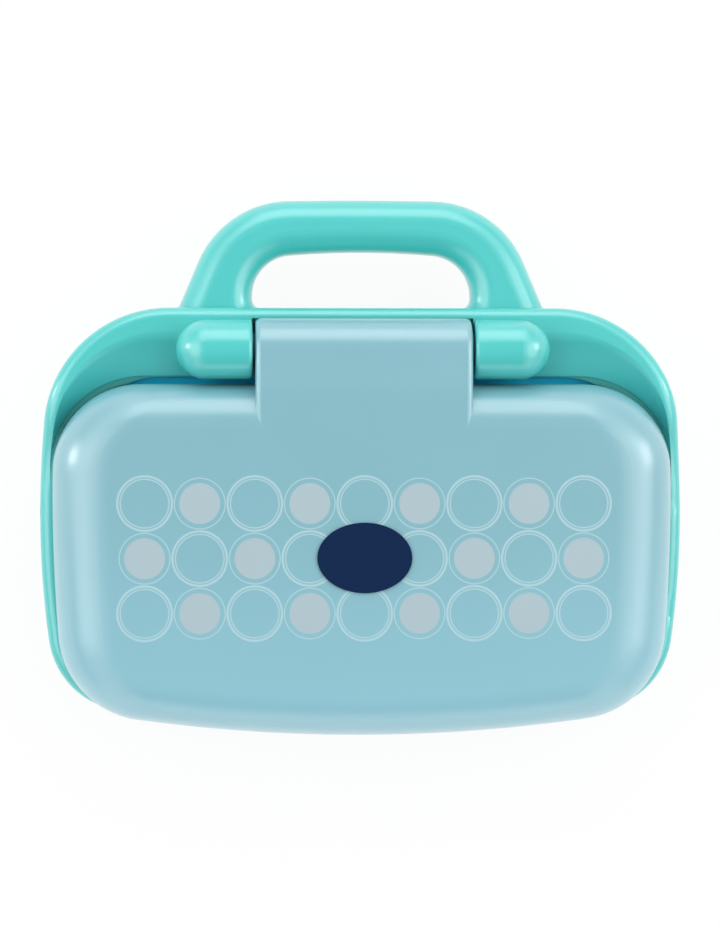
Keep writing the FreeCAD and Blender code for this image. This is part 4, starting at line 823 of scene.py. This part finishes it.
class Workshop:
    """Makes materials once and puts new pieces in the scene."""

    def __init__(self) -> None:
        """Start with no materials made."""
        self._made: dict[Finish, bpy.types.Material] = {}

    def material(self, finish: Finish) -> bpy.types.Material:
        """The material of a finish, made on first use."""
        if finish not in self._made:
            self._made[finish] = finish.material()
        return self._made[finish]

    def dress(self, finishes: dict[str, Finish]) -> None:
        """Give nodes of the frame their finishes.

        Args:
            finishes: Finish of each node, by the node's name.
        """
        for node, finish in finishes.items():
            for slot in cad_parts[node].material_slots:
                slot.material = self.material(finish)
            log.info("dressed %s with %s", node, finish.name)

    def add(self, name: str, shape: bmesh.types.BMesh, finish: Finish, body: str, slot: str) -> None:
        """Put a new piece in the scene.

        Args:
            name: The piece's name.
            shape: Its shape, at its place.
            finish: Its finish.
            body: The body that it moves with.
            slot: The record's material slot; not used.
        """
        mesh = bpy.data.meshes.new(name)
        shape.to_mesh(mesh)
        shape.free()
        mesh.materials.append(self.material(finish))
        piece = bpy.data.objects.new(name, mesh)
        bpy.context.scene.collection.objects.link(piece)
        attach(piece, body)
        log.info("added %s on %s", name, body)


def rounded_bar(low: Point, high: Point, rounding: float) -> bmesh.types.BMesh:
    """Bar between two corners with rounded edges.

    Args:
        low: Lowest corner.
        high: Highest corner.
        rounding: Radius of the edges.

    Returns:
        The bar.
    """
    shape = bmesh.new()
    bmesh.ops.create_cube(shape, size=1.0)
    size = [far - near for near, far in zip(low, high)]
    middle = [(far + near) / 2 for near, far in zip(low, high)]
    bmesh.ops.scale(shape, vec=size, verts=shape.verts)
    bmesh.ops.translate(shape, vec=middle, verts=shape.verts)
    bmesh.ops.bevel(shape, geom=shape.edges[:], offset=rounding, affect="EDGES", segments=3, profile=0.5,
                    material=-1)
    return shape


@dataclass(frozen=True)
class Mark:
    """A sign laid on a face as a thin raised shape."""

    sign: str
    height: float
    middle: Spot
    face: Callable[[float, float], float]
    thickness: float = 0.05 * MM
    facing: Facing = Facing.UP
    lift_share: float = 0.45

    def shape(self) -> bmesh.types.BMesh:
        """Make the sign's shape at its place.

        Returns:
            The shape.
        """
        curve = bpy.data.curves.new("sign", "FONT")
        curve.body = self.sign
        curve.extrude = 0.5
        holder = bpy.data.objects.new("sign", curve)
        bpy.context.scene.collection.objects.link(holder)
        bpy.context.view_layer.update()
        mesh = bpy.data.meshes.new_from_object(holder.evaluated_get(bpy.context.evaluated_depsgraph_get()))
        shape = bmesh.new()
        shape.from_mesh(mesh)
        bpy.data.objects.remove(holder)
        bpy.data.curves.remove(curve)
        bpy.data.meshes.remove(mesh)
        bmesh.ops.remove_doubles(shape, verts=shape.verts, dist=WELD)
        self._lay(shape)
        return shape

    def _lay(self, shape: bmesh.types.BMesh) -> None:
        """Scale a sign of height one, centre it and lay it on its face."""
        xs = [vert.co.x for vert in shape.verts]
        ys = [vert.co.y for vert in shape.verts]
        centre = Vector(((min(xs) + max(xs)) / 2, (min(ys) + max(ys)) / 2, 0))
        scale = self.height / (max(ys) - min(ys))
        bmesh.ops.translate(shape, vec=-centre, verts=shape.verts)
        bmesh.ops.scale(shape, vec=(scale, scale, self.thickness), verts=shape.verts)
        if self.facing is Facing.DOWN:
            bmesh.ops.rotate(shape, matrix=Matrix.Rotation(math.pi, 3, "X"), verts=shape.verts)
        bmesh.ops.translate(shape, vec=(*self.middle, 0), verts=shape.verts)
        lift = self.facing.value * self.thickness * self.lift_share
        for vert in shape.verts:
            vert.co.z += self.face(vert.co.x, vert.co.y) + lift


@dataclass(frozen=True)
class DrawnMark(Mark):
    """A sign made of flat polygons, drawn in a square of side one."""

    polygons: tuple[Polygon, ...] = ()

    def shape(self) -> bmesh.types.BMesh:
        """Make the sign's shape at its place.

        Returns:
            The shape.
        """
        shape = bmesh.new()
        for polygon in self.polygons:
            corners = [shape.verts.new((x, y, -0.5)) for x, y in polygon]
            face = shape.faces.new(corners)
            drawn = bmesh.ops.extrude_face_region(shape, geom=[face])["geom"]
            raised = [part for part in drawn if isinstance(part, bmesh.types.BMVert)]
            bmesh.ops.translate(shape, vec=(0, 0, 1), verts=raised)
        bmesh.ops.recalc_face_normals(shape, faces=shape.faces)
        self._lay(shape)
        return shape


def oval(middle: Spot, reach: Spot, count: int = 28) -> Polygon:
    """Corners of an oval.

    Args:
        middle: Its middle.
        reach: Its half width and half height.
        count: Number of corners.

    Returns:
        The corners in order.
    """
    turns = [2 * math.pi * number / count for number in range(count)]
    return tuple((middle[0] + reach[0] * math.cos(turn), middle[1] + reach[1] * math.sin(turn))
                 for turn in turns)


def ray(bearing: float, start: float, finish: float, half: float) -> Polygon:
    """Corners of a short bar that points away from the middle.

    Args:
        bearing: Its direction in radians.
        start: Distance of its near end.
        finish: Distance of its far end.
        half: Half its width.

    Returns:
        The corners in order.
    """
    along = Vector((math.cos(bearing), math.sin(bearing)))
    across = Vector((-along.y, along.x)) * half
    near, far = along * start, along * finish
    corners = (near - across, far - across, far + across, near + across)
    return tuple((corner.x, corner.y) for corner in corners)


ARROW = (((-0.5, -0.45), (0.5, -0.45), (0.0, 0.45)),)
NOTE = (
    oval((-0.29, -0.37), (0.17, 0.13)),
    oval((0.28, -0.29), (0.17, 0.13)),
    ((-0.19, -0.37), (-0.12, -0.37), (-0.12, 0.36), (-0.19, 0.36)),
    ((0.38, -0.29), (0.45, -0.29), (0.45, 0.44), (0.38, 0.44)),
    ((-0.19, 0.3), (0.45, 0.38), (0.45, 0.54), (-0.19, 0.46)),
)
SUN_RAYS = 8
SUN = (
    oval((0.0, 0.0), (0.24, 0.24)),
    *(ray(2 * math.pi * number / SUN_RAYS, 0.32, 0.5, 0.045) for number in range(SUN_RAYS)),
)

TEAL = Plastic("teal_case", colour(66, 197, 193), roughness=0.31, gloss=1.0, coat=1.0)
# The top case carries painted shade on the ledge behind the lid.
TEAL_WITH_PAINTED_SHADE = PaintedShadePlastic("case_with_painted_shade", TEAL.tone, roughness=0.31, gloss=1.0, coat=1.0)
# The lid's finish carries painted light that lightens it towards the front.
LID_BLUE = PrintedPlastic("printed_lid", colour(124, 178, 190), roughness=0.31, grain=0.003 * MM, gloss=1.0,
                          coat=1.0)
DECK_BLUE = colour(6, 184, 226)
NAVY_INK = Plastic("navy_ink", colour(24, 48, 92), roughness=0.45, grain_length=0.3 * MM)
WHITE_INK = Plastic("white_ink", colour(238, 242, 244), roughness=0.45, grain_length=0.3 * MM)
SLIDER_ORANGE = Plastic("slider_orange", colour(241, 134, 62), roughness=0.34)
STEEL = Metal("plated_steel", colour(196, 197, 196), roughness=0.3)
SPRING = Metal("spring_steel", colour(206, 200, 186), roughness=0.25)
NYLON = Plastic("natural_nylon", colour(230, 227, 216), roughness=0.42)
BLACK = Plastic("black_plastic", colour(30, 30, 33), roughness=0.45)
CABLE = Plastic("grey_cable", colour(74, 76, 80), roughness=0.5)
GREEN_BOARD = Board("circuit_board", colour(24, 92, 54), colour(206, 196, 160))


@dataclass
class Lid:
    """Cover, bezel, screen and the electronics behind it."""

    shop: Workshop
    line_middle: Spot = (0.0, -38 * MM)
    line_half: Spot = (69 * MM, 46 * MM)
    line_corner: float = 13 * MM
    line_width: float = 1.4 * MM
    line_highest: float = 36 * MM

    def dress(self) -> None:
        """Finish the lid's pieces."""
        frame_line = Outline(self.line_middle, self.line_half, self.line_corner)
        bezel = BezelPlastic("bezel", DECK_BLUE, roughness=0.36, grain=0.012 * MM,
                             ink=colour(142, 198, 212), outlines=(frame_line,),
                             line_width=self.line_width, highest=self.line_highest)
        self.shop.dress({
            "lid_cover": LID_BLUE,
            "lid_bezel": bezel,
            "badge_plate": Plastic("navy_badge", colour(17, 40, 74), roughness=0.2, grain=0.001 * MM,
                                   gloss=0.12),
            "screen_lens": Clear("clear_lens", colour(232, 240, 242)),
            "display_panel": Display("display", colour(158, 176, 156), colour(118, 134, 120)),
            "light_guide": Plastic("light_guide", colour(236, 240, 236), roughness=0.2),
            "lid_board": GREEN_BOARD,
            "screen_lamps": Plastic("lamp_lens", colour(244, 238, 206), roughness=0.15),
            "lid_cable_socket": NYLON,
            "lid_board_screws": STEEL,
            "lid_screws": STEEL,
            "lid_bumpers": Plastic("soft_bumper", colour(206, 212, 214), roughness=0.6),
            "hinge_cable_lid": CABLE,
        })


@dataclass
class Base:
    """Two case halves with the handle, hinge, battery bay, speaker and feet."""

    shop: Workshop
    rib_count: int = 4
    rib_pitch: float = 3.0 * MM
    rib_length: float = 22 * MM
    rib_width: float = 1.2 * MM
    rib_height: float = 0.5 * MM
    rib_inset: float = 6.0 * MM
    rib_rounding: float = 0.2 * MM
    arrow_height: float = 6.0 * MM
    arrow_thickness: float = 0.6 * MM

    def dress(self) -> None:
        """Finish the base's pieces."""
        cell_jacket = BandedJacket("cell_jacket", colour(58, 62, 68), colour(186, 116, 66), 12 * MM)
        self.shop.dress({
            "base_bottom_case": TEAL,
            # The top case's finish carries painted shade on the ledge behind the lid.
            "base_top_case": TEAL_WITH_PAINTED_SHADE,
            "battery_door": TEAL,
            "battery_door_screw": STEEL,
            "case_screws": STEEL,
            "rubber_feet": Plastic("foot_rubber", colour(58, 66, 70), roughness=0.75, grain=0.03 * MM,
                                   gloss=0.25),
            "hinge_pin_left": STEEL,
            "hinge_pin_right": STEEL,
            # The washers are coloured dark teal as painted shade, so the hinge gap reads as shade.
            "hinge_washers": Plastic("washer_painted_shade", colour(22, 100, 104), roughness=0.5),
            "hinge_cable_base": CABLE,
            "battery_cells": cell_jacket,
            "battery_contacts": SPRING,
            "battery_leads": TwoWires("battery_wire", colour(24, 24, 26), colour(190, 40, 38), -8.8 * MM),
            "speaker_leads": TwoWires("speaker_wire", colour(24, 24, 26), colour(226, 224, 220), -38 * MM),
            "speaker_frame": STEEL,
            "speaker_cone": Plastic("pressed_paper", colour(40, 40, 42), roughness=0.85, grain=0.06 * MM,
                                    gloss=0.2),
            "speaker_magnet": Metal("sintered_magnet", colour(88, 88, 90), roughness=0.5),
            "speaker_screws": STEEL,
            "main_board": GREEN_BOARD,
            "slide_switch": BLACK,
            "sound_chip": Plastic("resin_drop", colour(22, 22, 24), roughness=0.25, grain=0.02 * MM),
            "capacitors": Plastic("capacitor_sleeve", colour(26, 34, 60), roughness=0.35),
            "board_cable_socket": NYLON,
            "board_screws": STEEL,
        })

    def door_ribs(self) -> None:
        """Finger ribs and an arrow on the outside of the battery door."""
        low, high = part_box("battery_door")
        middle_x = (low[0] + high[0]) / 2
        bottom = low[2]
        first = high[1] - self.rib_inset
        left, right = middle_x - self.rib_length / 2, middle_x + self.rib_length / 2
        for number in range(self.rib_count):
            y = first - number * self.rib_pitch
            bar = rounded_bar((left, y - self.rib_width / 2, bottom - self.rib_height),
                              (right, y + self.rib_width / 2, bottom + self.rib_height / 2),
                              self.rib_rounding)
            self.shop.add(f"door_rib_{number}", bar, TEAL, "base", "teal_plastic")
        arrow_y = first - self.rib_count * self.rib_pitch - self.arrow_height / 2
        arrow = DrawnMark("arrow", self.arrow_height, (middle_x, arrow_y), lambda x, y: bottom,
                          self.arrow_thickness, Facing.DOWN, polygons=ARROW)
        self.shop.add("door_arrow", arrow.shape(), TEAL, "base", "teal_plastic")


@dataclass
class Keyboard:
    """Deck, keys, round buttons, touch pad, slider and their printed signs."""

    shop: Workshop
    dish: float = 0.7 * MM
    dish_radius: float = 95 * MM
    digit_height: float = 12 * MM
    sign_height: float = 13 * MM
    switch_text: float = 4.2 * MM
    switch_gap: float = 3.4 * MM
    switch_travel: float = 8 * MM
    ridge_pitch: float = 2.2 * MM
    ridge_width: float = 0.8 * MM
    ridge_height: float = 0.35 * MM
    ridge_rounding: float = 0.21 * MM
    ridge_share: float = 0.36
    panel_middle: Spot = (0.0, -8.5 * MM)
    panel_half: Spot = (98 * MM, 31 * MM)
    panel_corner: float = 9 * MM
    pad_half: Spot = (26 * MM, 16 * MM)
    pad_corner: float = 5 * MM
    pad_line_width: float = 0.9 * MM
    deck_print_depth: float = 0.3 * MM
    pad_print_depth: float = 0.4 * MM
    key_colours: tuple[Plastic, ...] = (
        Plastic("yellow_key", colour(246, 198, 62), roughness=0.24),
        Plastic("orange_key", colour(241, 134, 62), roughness=0.24),
        Plastic("white_key", colour(238, 240, 238), roughness=0.24),
    )

    def dress(self) -> None:
        """Finish the deck and what stands through it."""
        number_panel = Outline(self.panel_middle, self.panel_half, self.panel_corner)
        deck_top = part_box("keyboard_deck")[1][2]
        deck = PanelPlastic("deck", DECK_BLUE, roughness=0.42, grain=0.02 * MM, grain_length=0.5 * MM,
                            gloss=0.25, ink=colour(86, 176, 206), outlines=(number_panel,),
                            lowest=deck_top - self.deck_print_depth)
        pad_low, pad_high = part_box("touch_pad")
        pad_line = Outline(((pad_low[0] + pad_high[0]) / 2, (pad_low[1] + pad_high[1]) / 2),
                           self.pad_half, self.pad_corner)
        pad = PanelPlastic("touch_pad", colour(208, 229, 235), roughness=0.34, ink=colour(98, 178, 206),
                           outlines=(pad_line,), line_width=self.pad_line_width,
                           lowest=pad_high[2] - self.pad_print_depth)
        finishes: dict[str, Finish] = {
            "keyboard_deck": deck,
            "rubber_membrane": Plastic("silicone", colour(182, 186, 186), roughness=0.65),
            "music_button": Plastic("red_button", colour(223, 72, 80), roughness=0.24),
            "light_button": Plastic("green_button", colour(122, 191, 86), roughness=0.24),
            "touch_pad": pad,
            "power_slider": SLIDER_ORANGE,
        }
        for number in range(KEY_COUNT):
            finishes[f"key_{number}"] = self.key_colours[number % len(self.key_colours)]
        self.shop.dress(finishes)

    def _dished_sign(self, node: str, sign: str, finish: Finish, slot: str,
                     polygons: tuple[Polygon, ...] = ()) -> None:
        """Print a sign in the dish of a key.

        Args:
            node: The key's node and body.
            sign: The sign, if it is written.
            finish: Its ink.
            slot: The record's material slot.
            polygons: The sign's polygons, if it is drawn.
        """
        low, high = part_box(node)
        x_mid = (low[0] + high[0]) / 2
        y_mid = (low[1] + high[1]) / 2

        def face(x: float, y: float) -> float:
            """Height of the dish at a place."""
            reach = (x - x_mid) ** 2 + (y - y_mid) ** 2
            return high[2] - self.dish + reach / (2 * self.dish_radius)
        if polygons:
            mark = DrawnMark(sign, self.sign_height, (x_mid, y_mid), face, polygons=polygons)
        else:
            mark = Mark(sign, self.digit_height, (x_mid, y_mid), face)
        self.shop.add(f"{node}_sign", mark.shape(), finish, node, slot)

    def signs(self) -> None:
        """Digits on the keys, a note, a sun and the switch's two signs."""
        for number in range(KEY_COUNT):
            self._dished_sign(f"key_{number}", str((number + 1) % KEY_COUNT), NAVY_INK, "navy_plastic")
        self._dished_sign("music_button", "note", WHITE_INK, "white_key", NOTE)
        self._dished_sign("light_button", "sun", WHITE_INK, "white_key", SUN)
        low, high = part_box("power_slider")
        deck_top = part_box("keyboard_deck")[1][2]
        y_mid = (low[1] + high[1]) / 2
        off_x = low[0] - self.switch_gap
        on_x = high[0] + self.switch_travel + self.switch_gap
        for name, sign, x in (("switch_off_sign", "O", off_x), ("switch_on_sign", "I", on_x)):
            mark = Mark(sign, self.switch_text, (x, y_mid), lambda x, y: deck_top)
            self.shop.add(name, mark.shape(), WHITE_INK, "base", "white_key")

    def slider_ridges(self) -> None:
        """Grip ridges across the slider's cap."""
        low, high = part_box("power_slider")
        x_mid = (low[0] + high[0]) / 2
        reach = (high[1] - low[1]) * self.ridge_share
        y_mid = (low[1] + high[1]) / 2
        for number in (-1, 0, 1):
            x = x_mid + number * self.ridge_pitch
            bar = rounded_bar((x - self.ridge_width / 2, y_mid - reach, high[2] - self.ridge_height),
                              (x + self.ridge_width / 2, y_mid + reach, high[2] + self.ridge_height),
                              self.ridge_rounding)
            self.shop.add(f"slider_ridge_{number + 1}", bar, SLIDER_ORANGE, "power_slider", "slider_plastic")


@dataclass(frozen=True)
class Softbox:
    """A flat soft lamp that faces the object."""

    name: str
    bearing: float
    from_top: float
    distance: float
    width: float
    height: float
    radiance: float


@dataclass
class Studio:
    """Floor, lamps, surroundings and camera."""

    floor_half: float = 4.0
    floor_glow: float = 0.92
    floor_grey: float = 0.95
    sky: tuple[tuple[float, float], ...] = ((0.0, 0.8), (0.2, 0.4), (0.5, 0.08), (0.8, 0.15), (1.0, 0.32))
    target: Point = (0.0, 0.0, 0.035)
    camera_place: Point = (-0.07035, 0.00106, 1.5)
    aim: Point = (-0.00035, 0.00106, 0.027)
    focal_pixels: float = 3770.9
    picture_height: int = 928
    sensor: float = 36.0
    softboxes: tuple[Softbox, ...] = (
        Softbox("left_box", 180, 46, 1.1, 0.8, 0.9, 1.5),
        Softbox("right_box", 0, 46, 1.1, 0.8, 0.9, 1.5),
        Softbox("left_corner_box", 137, 52, 1.1, 0.7, 0.7, 0.8),
        Softbox("right_corner_box", 43, 52, 1.1, 0.7, 0.7, 0.8),
        Softbox("rear_box", 90, 59, 1.1, 0.9, 0.8, 1.75),
        Softbox("front_box", 270, 74, 1.1, 1.8, 0.55, 0.6),
        Softbox("left_front_box", 223, 55, 1.1, 0.7, 0.7, 0.65),
        Softbox("right_front_box", 317, 55, 1.1, 0.7, 0.7, 0.65),
        Softbox("left_strip", 168, 76, 1.2, 0.16, 0.22, 14.0),
        Softbox("right_strip", 14, 66, 1.2, 0.32, 0.34, 4.5),
    )

    @staticmethod
    def _seen(shader: Shader) -> Tone:
        """One for rays from the camera, a reflection or a clear piece."""
        ray = shader.node("ShaderNodeLightPath", output="Is Camera Ray")
        return ray.most(ray.other("Is Glossy Ray")).most(ray.other("Is Transmission Ray"))

    def floor(self) -> None:
        """Pale floor that keeps the object's shadow."""
        shape = bmesh.new()
        bmesh.ops.create_grid(shape, x_segments=1, y_segments=1, size=self.floor_half)
        mesh = bpy.data.meshes.new("floor")
        shape.to_mesh(mesh)
        shape.free()
        shader, material = Shader.for_material("floor")
        grey = self.floor_grey
        paper = shader.node("ShaderNodeBsdfDiffuse", inputs={"Color": (grey, grey, grey, 1.0)})
        glow = shader.node("ShaderNodeEmission", inputs={"Color": (1.0, 1.0, 1.0, 1.0), "Strength": 1.0})
        factor = self._seen(shader) * self.floor_glow
        mixed = shader.node("ShaderNodeMixShader", inputs={0: factor, 1: paper, 2: glow})
        shader.finish(mixed, "ShaderNodeOutputMaterial")
        mesh.materials.append(material)
        plane = bpy.data.objects.new("floor", mesh)
        bpy.context.scene.collection.objects.link(plane)

    def surroundings(self) -> None:
        """Surroundings: pale at the horizon, dark half way up and a little lighter overhead."""
        world = bpy.data.worlds.new("studio")
        world.use_nodes = True
        bpy.context.scene.world = world
        shader = Shader(world.node_tree)
        direction = shader.node("ShaderNodeTexCoord", output="Generated")
        _, _, height = shader.parts(direction)
        stops = [(place, (level, level, level, 1.0)) for place, level in self.sky]
        level = shader.node("ShaderNodeValToRGB", {"stops": stops}, {0: height})
        sky = shader.node("ShaderNodeBackground", inputs={"Color": level, "Strength": 1.0})
        shader.finish(sky, "ShaderNodeOutputWorld")

    def lamps(self) -> None:
        """Soft lamps on all sides."""
        for box in self.softboxes:
            bearing = math.radians(box.bearing)
            from_top = math.radians(box.from_top)
            outward = math.sin(from_top)
            towards = Vector((math.cos(bearing) * outward, math.sin(bearing) * outward, math.cos(from_top)))
            lamp = bpy.data.lights.new(box.name, "AREA")
            lamp.shape = "RECTANGLE"
            lamp.size = box.width
            lamp.size_y = box.height
            lamp.energy = box.radiance * box.width * box.height * 4
            holder = bpy.data.objects.new(box.name, lamp)
            holder.location = Vector(self.target) + towards * box.distance
            holder.rotation_euler = (-towards).to_track_quat("-Z", "Y").to_euler()
            holder.visible_camera = False
            bpy.context.scene.collection.objects.link(holder)

    def camera(self) -> None:
        """Camera above the object, a little to its left."""
        lens = bpy.data.cameras.new("camera")
        lens.sensor_fit = "VERTICAL"
        lens.sensor_height = self.sensor
        lens.lens = self.focal_pixels * self.sensor / self.picture_height
        holder = bpy.data.objects.new("camera", lens)
        holder.location = self.camera_place
        tilt = math.atan2(self.aim[0] - self.camera_place[0], self.camera_place[2] - self.aim[2])
        holder.rotation_euler = (0.0, -tilt, 0.0)
        bpy.context.scene.collection.objects.link(holder)
        bpy.context.scene.camera = holder

    def build(self) -> None:
        """Set up the whole studio."""
        self.floor()
        self.surroundings()
        self.lamps()
        self.camera()
        bpy.context.scene.view_settings.view_transform = "Standard"


def main() -> None:
    """Build the sub-assemblies in order."""
    logging.basicConfig(level=logging.INFO, format="%(name)s: %(message)s")
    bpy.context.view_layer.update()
    shop = Workshop()
    Studio().build()
    base = Base(shop)
    base.dress()
    base.door_ribs()
    keyboard = Keyboard(shop)
    keyboard.dress()
    keyboard.signs()
    keyboard.slider_ridges()
    Lid(shop).dress()


if __name__ == "__main__":
    main()
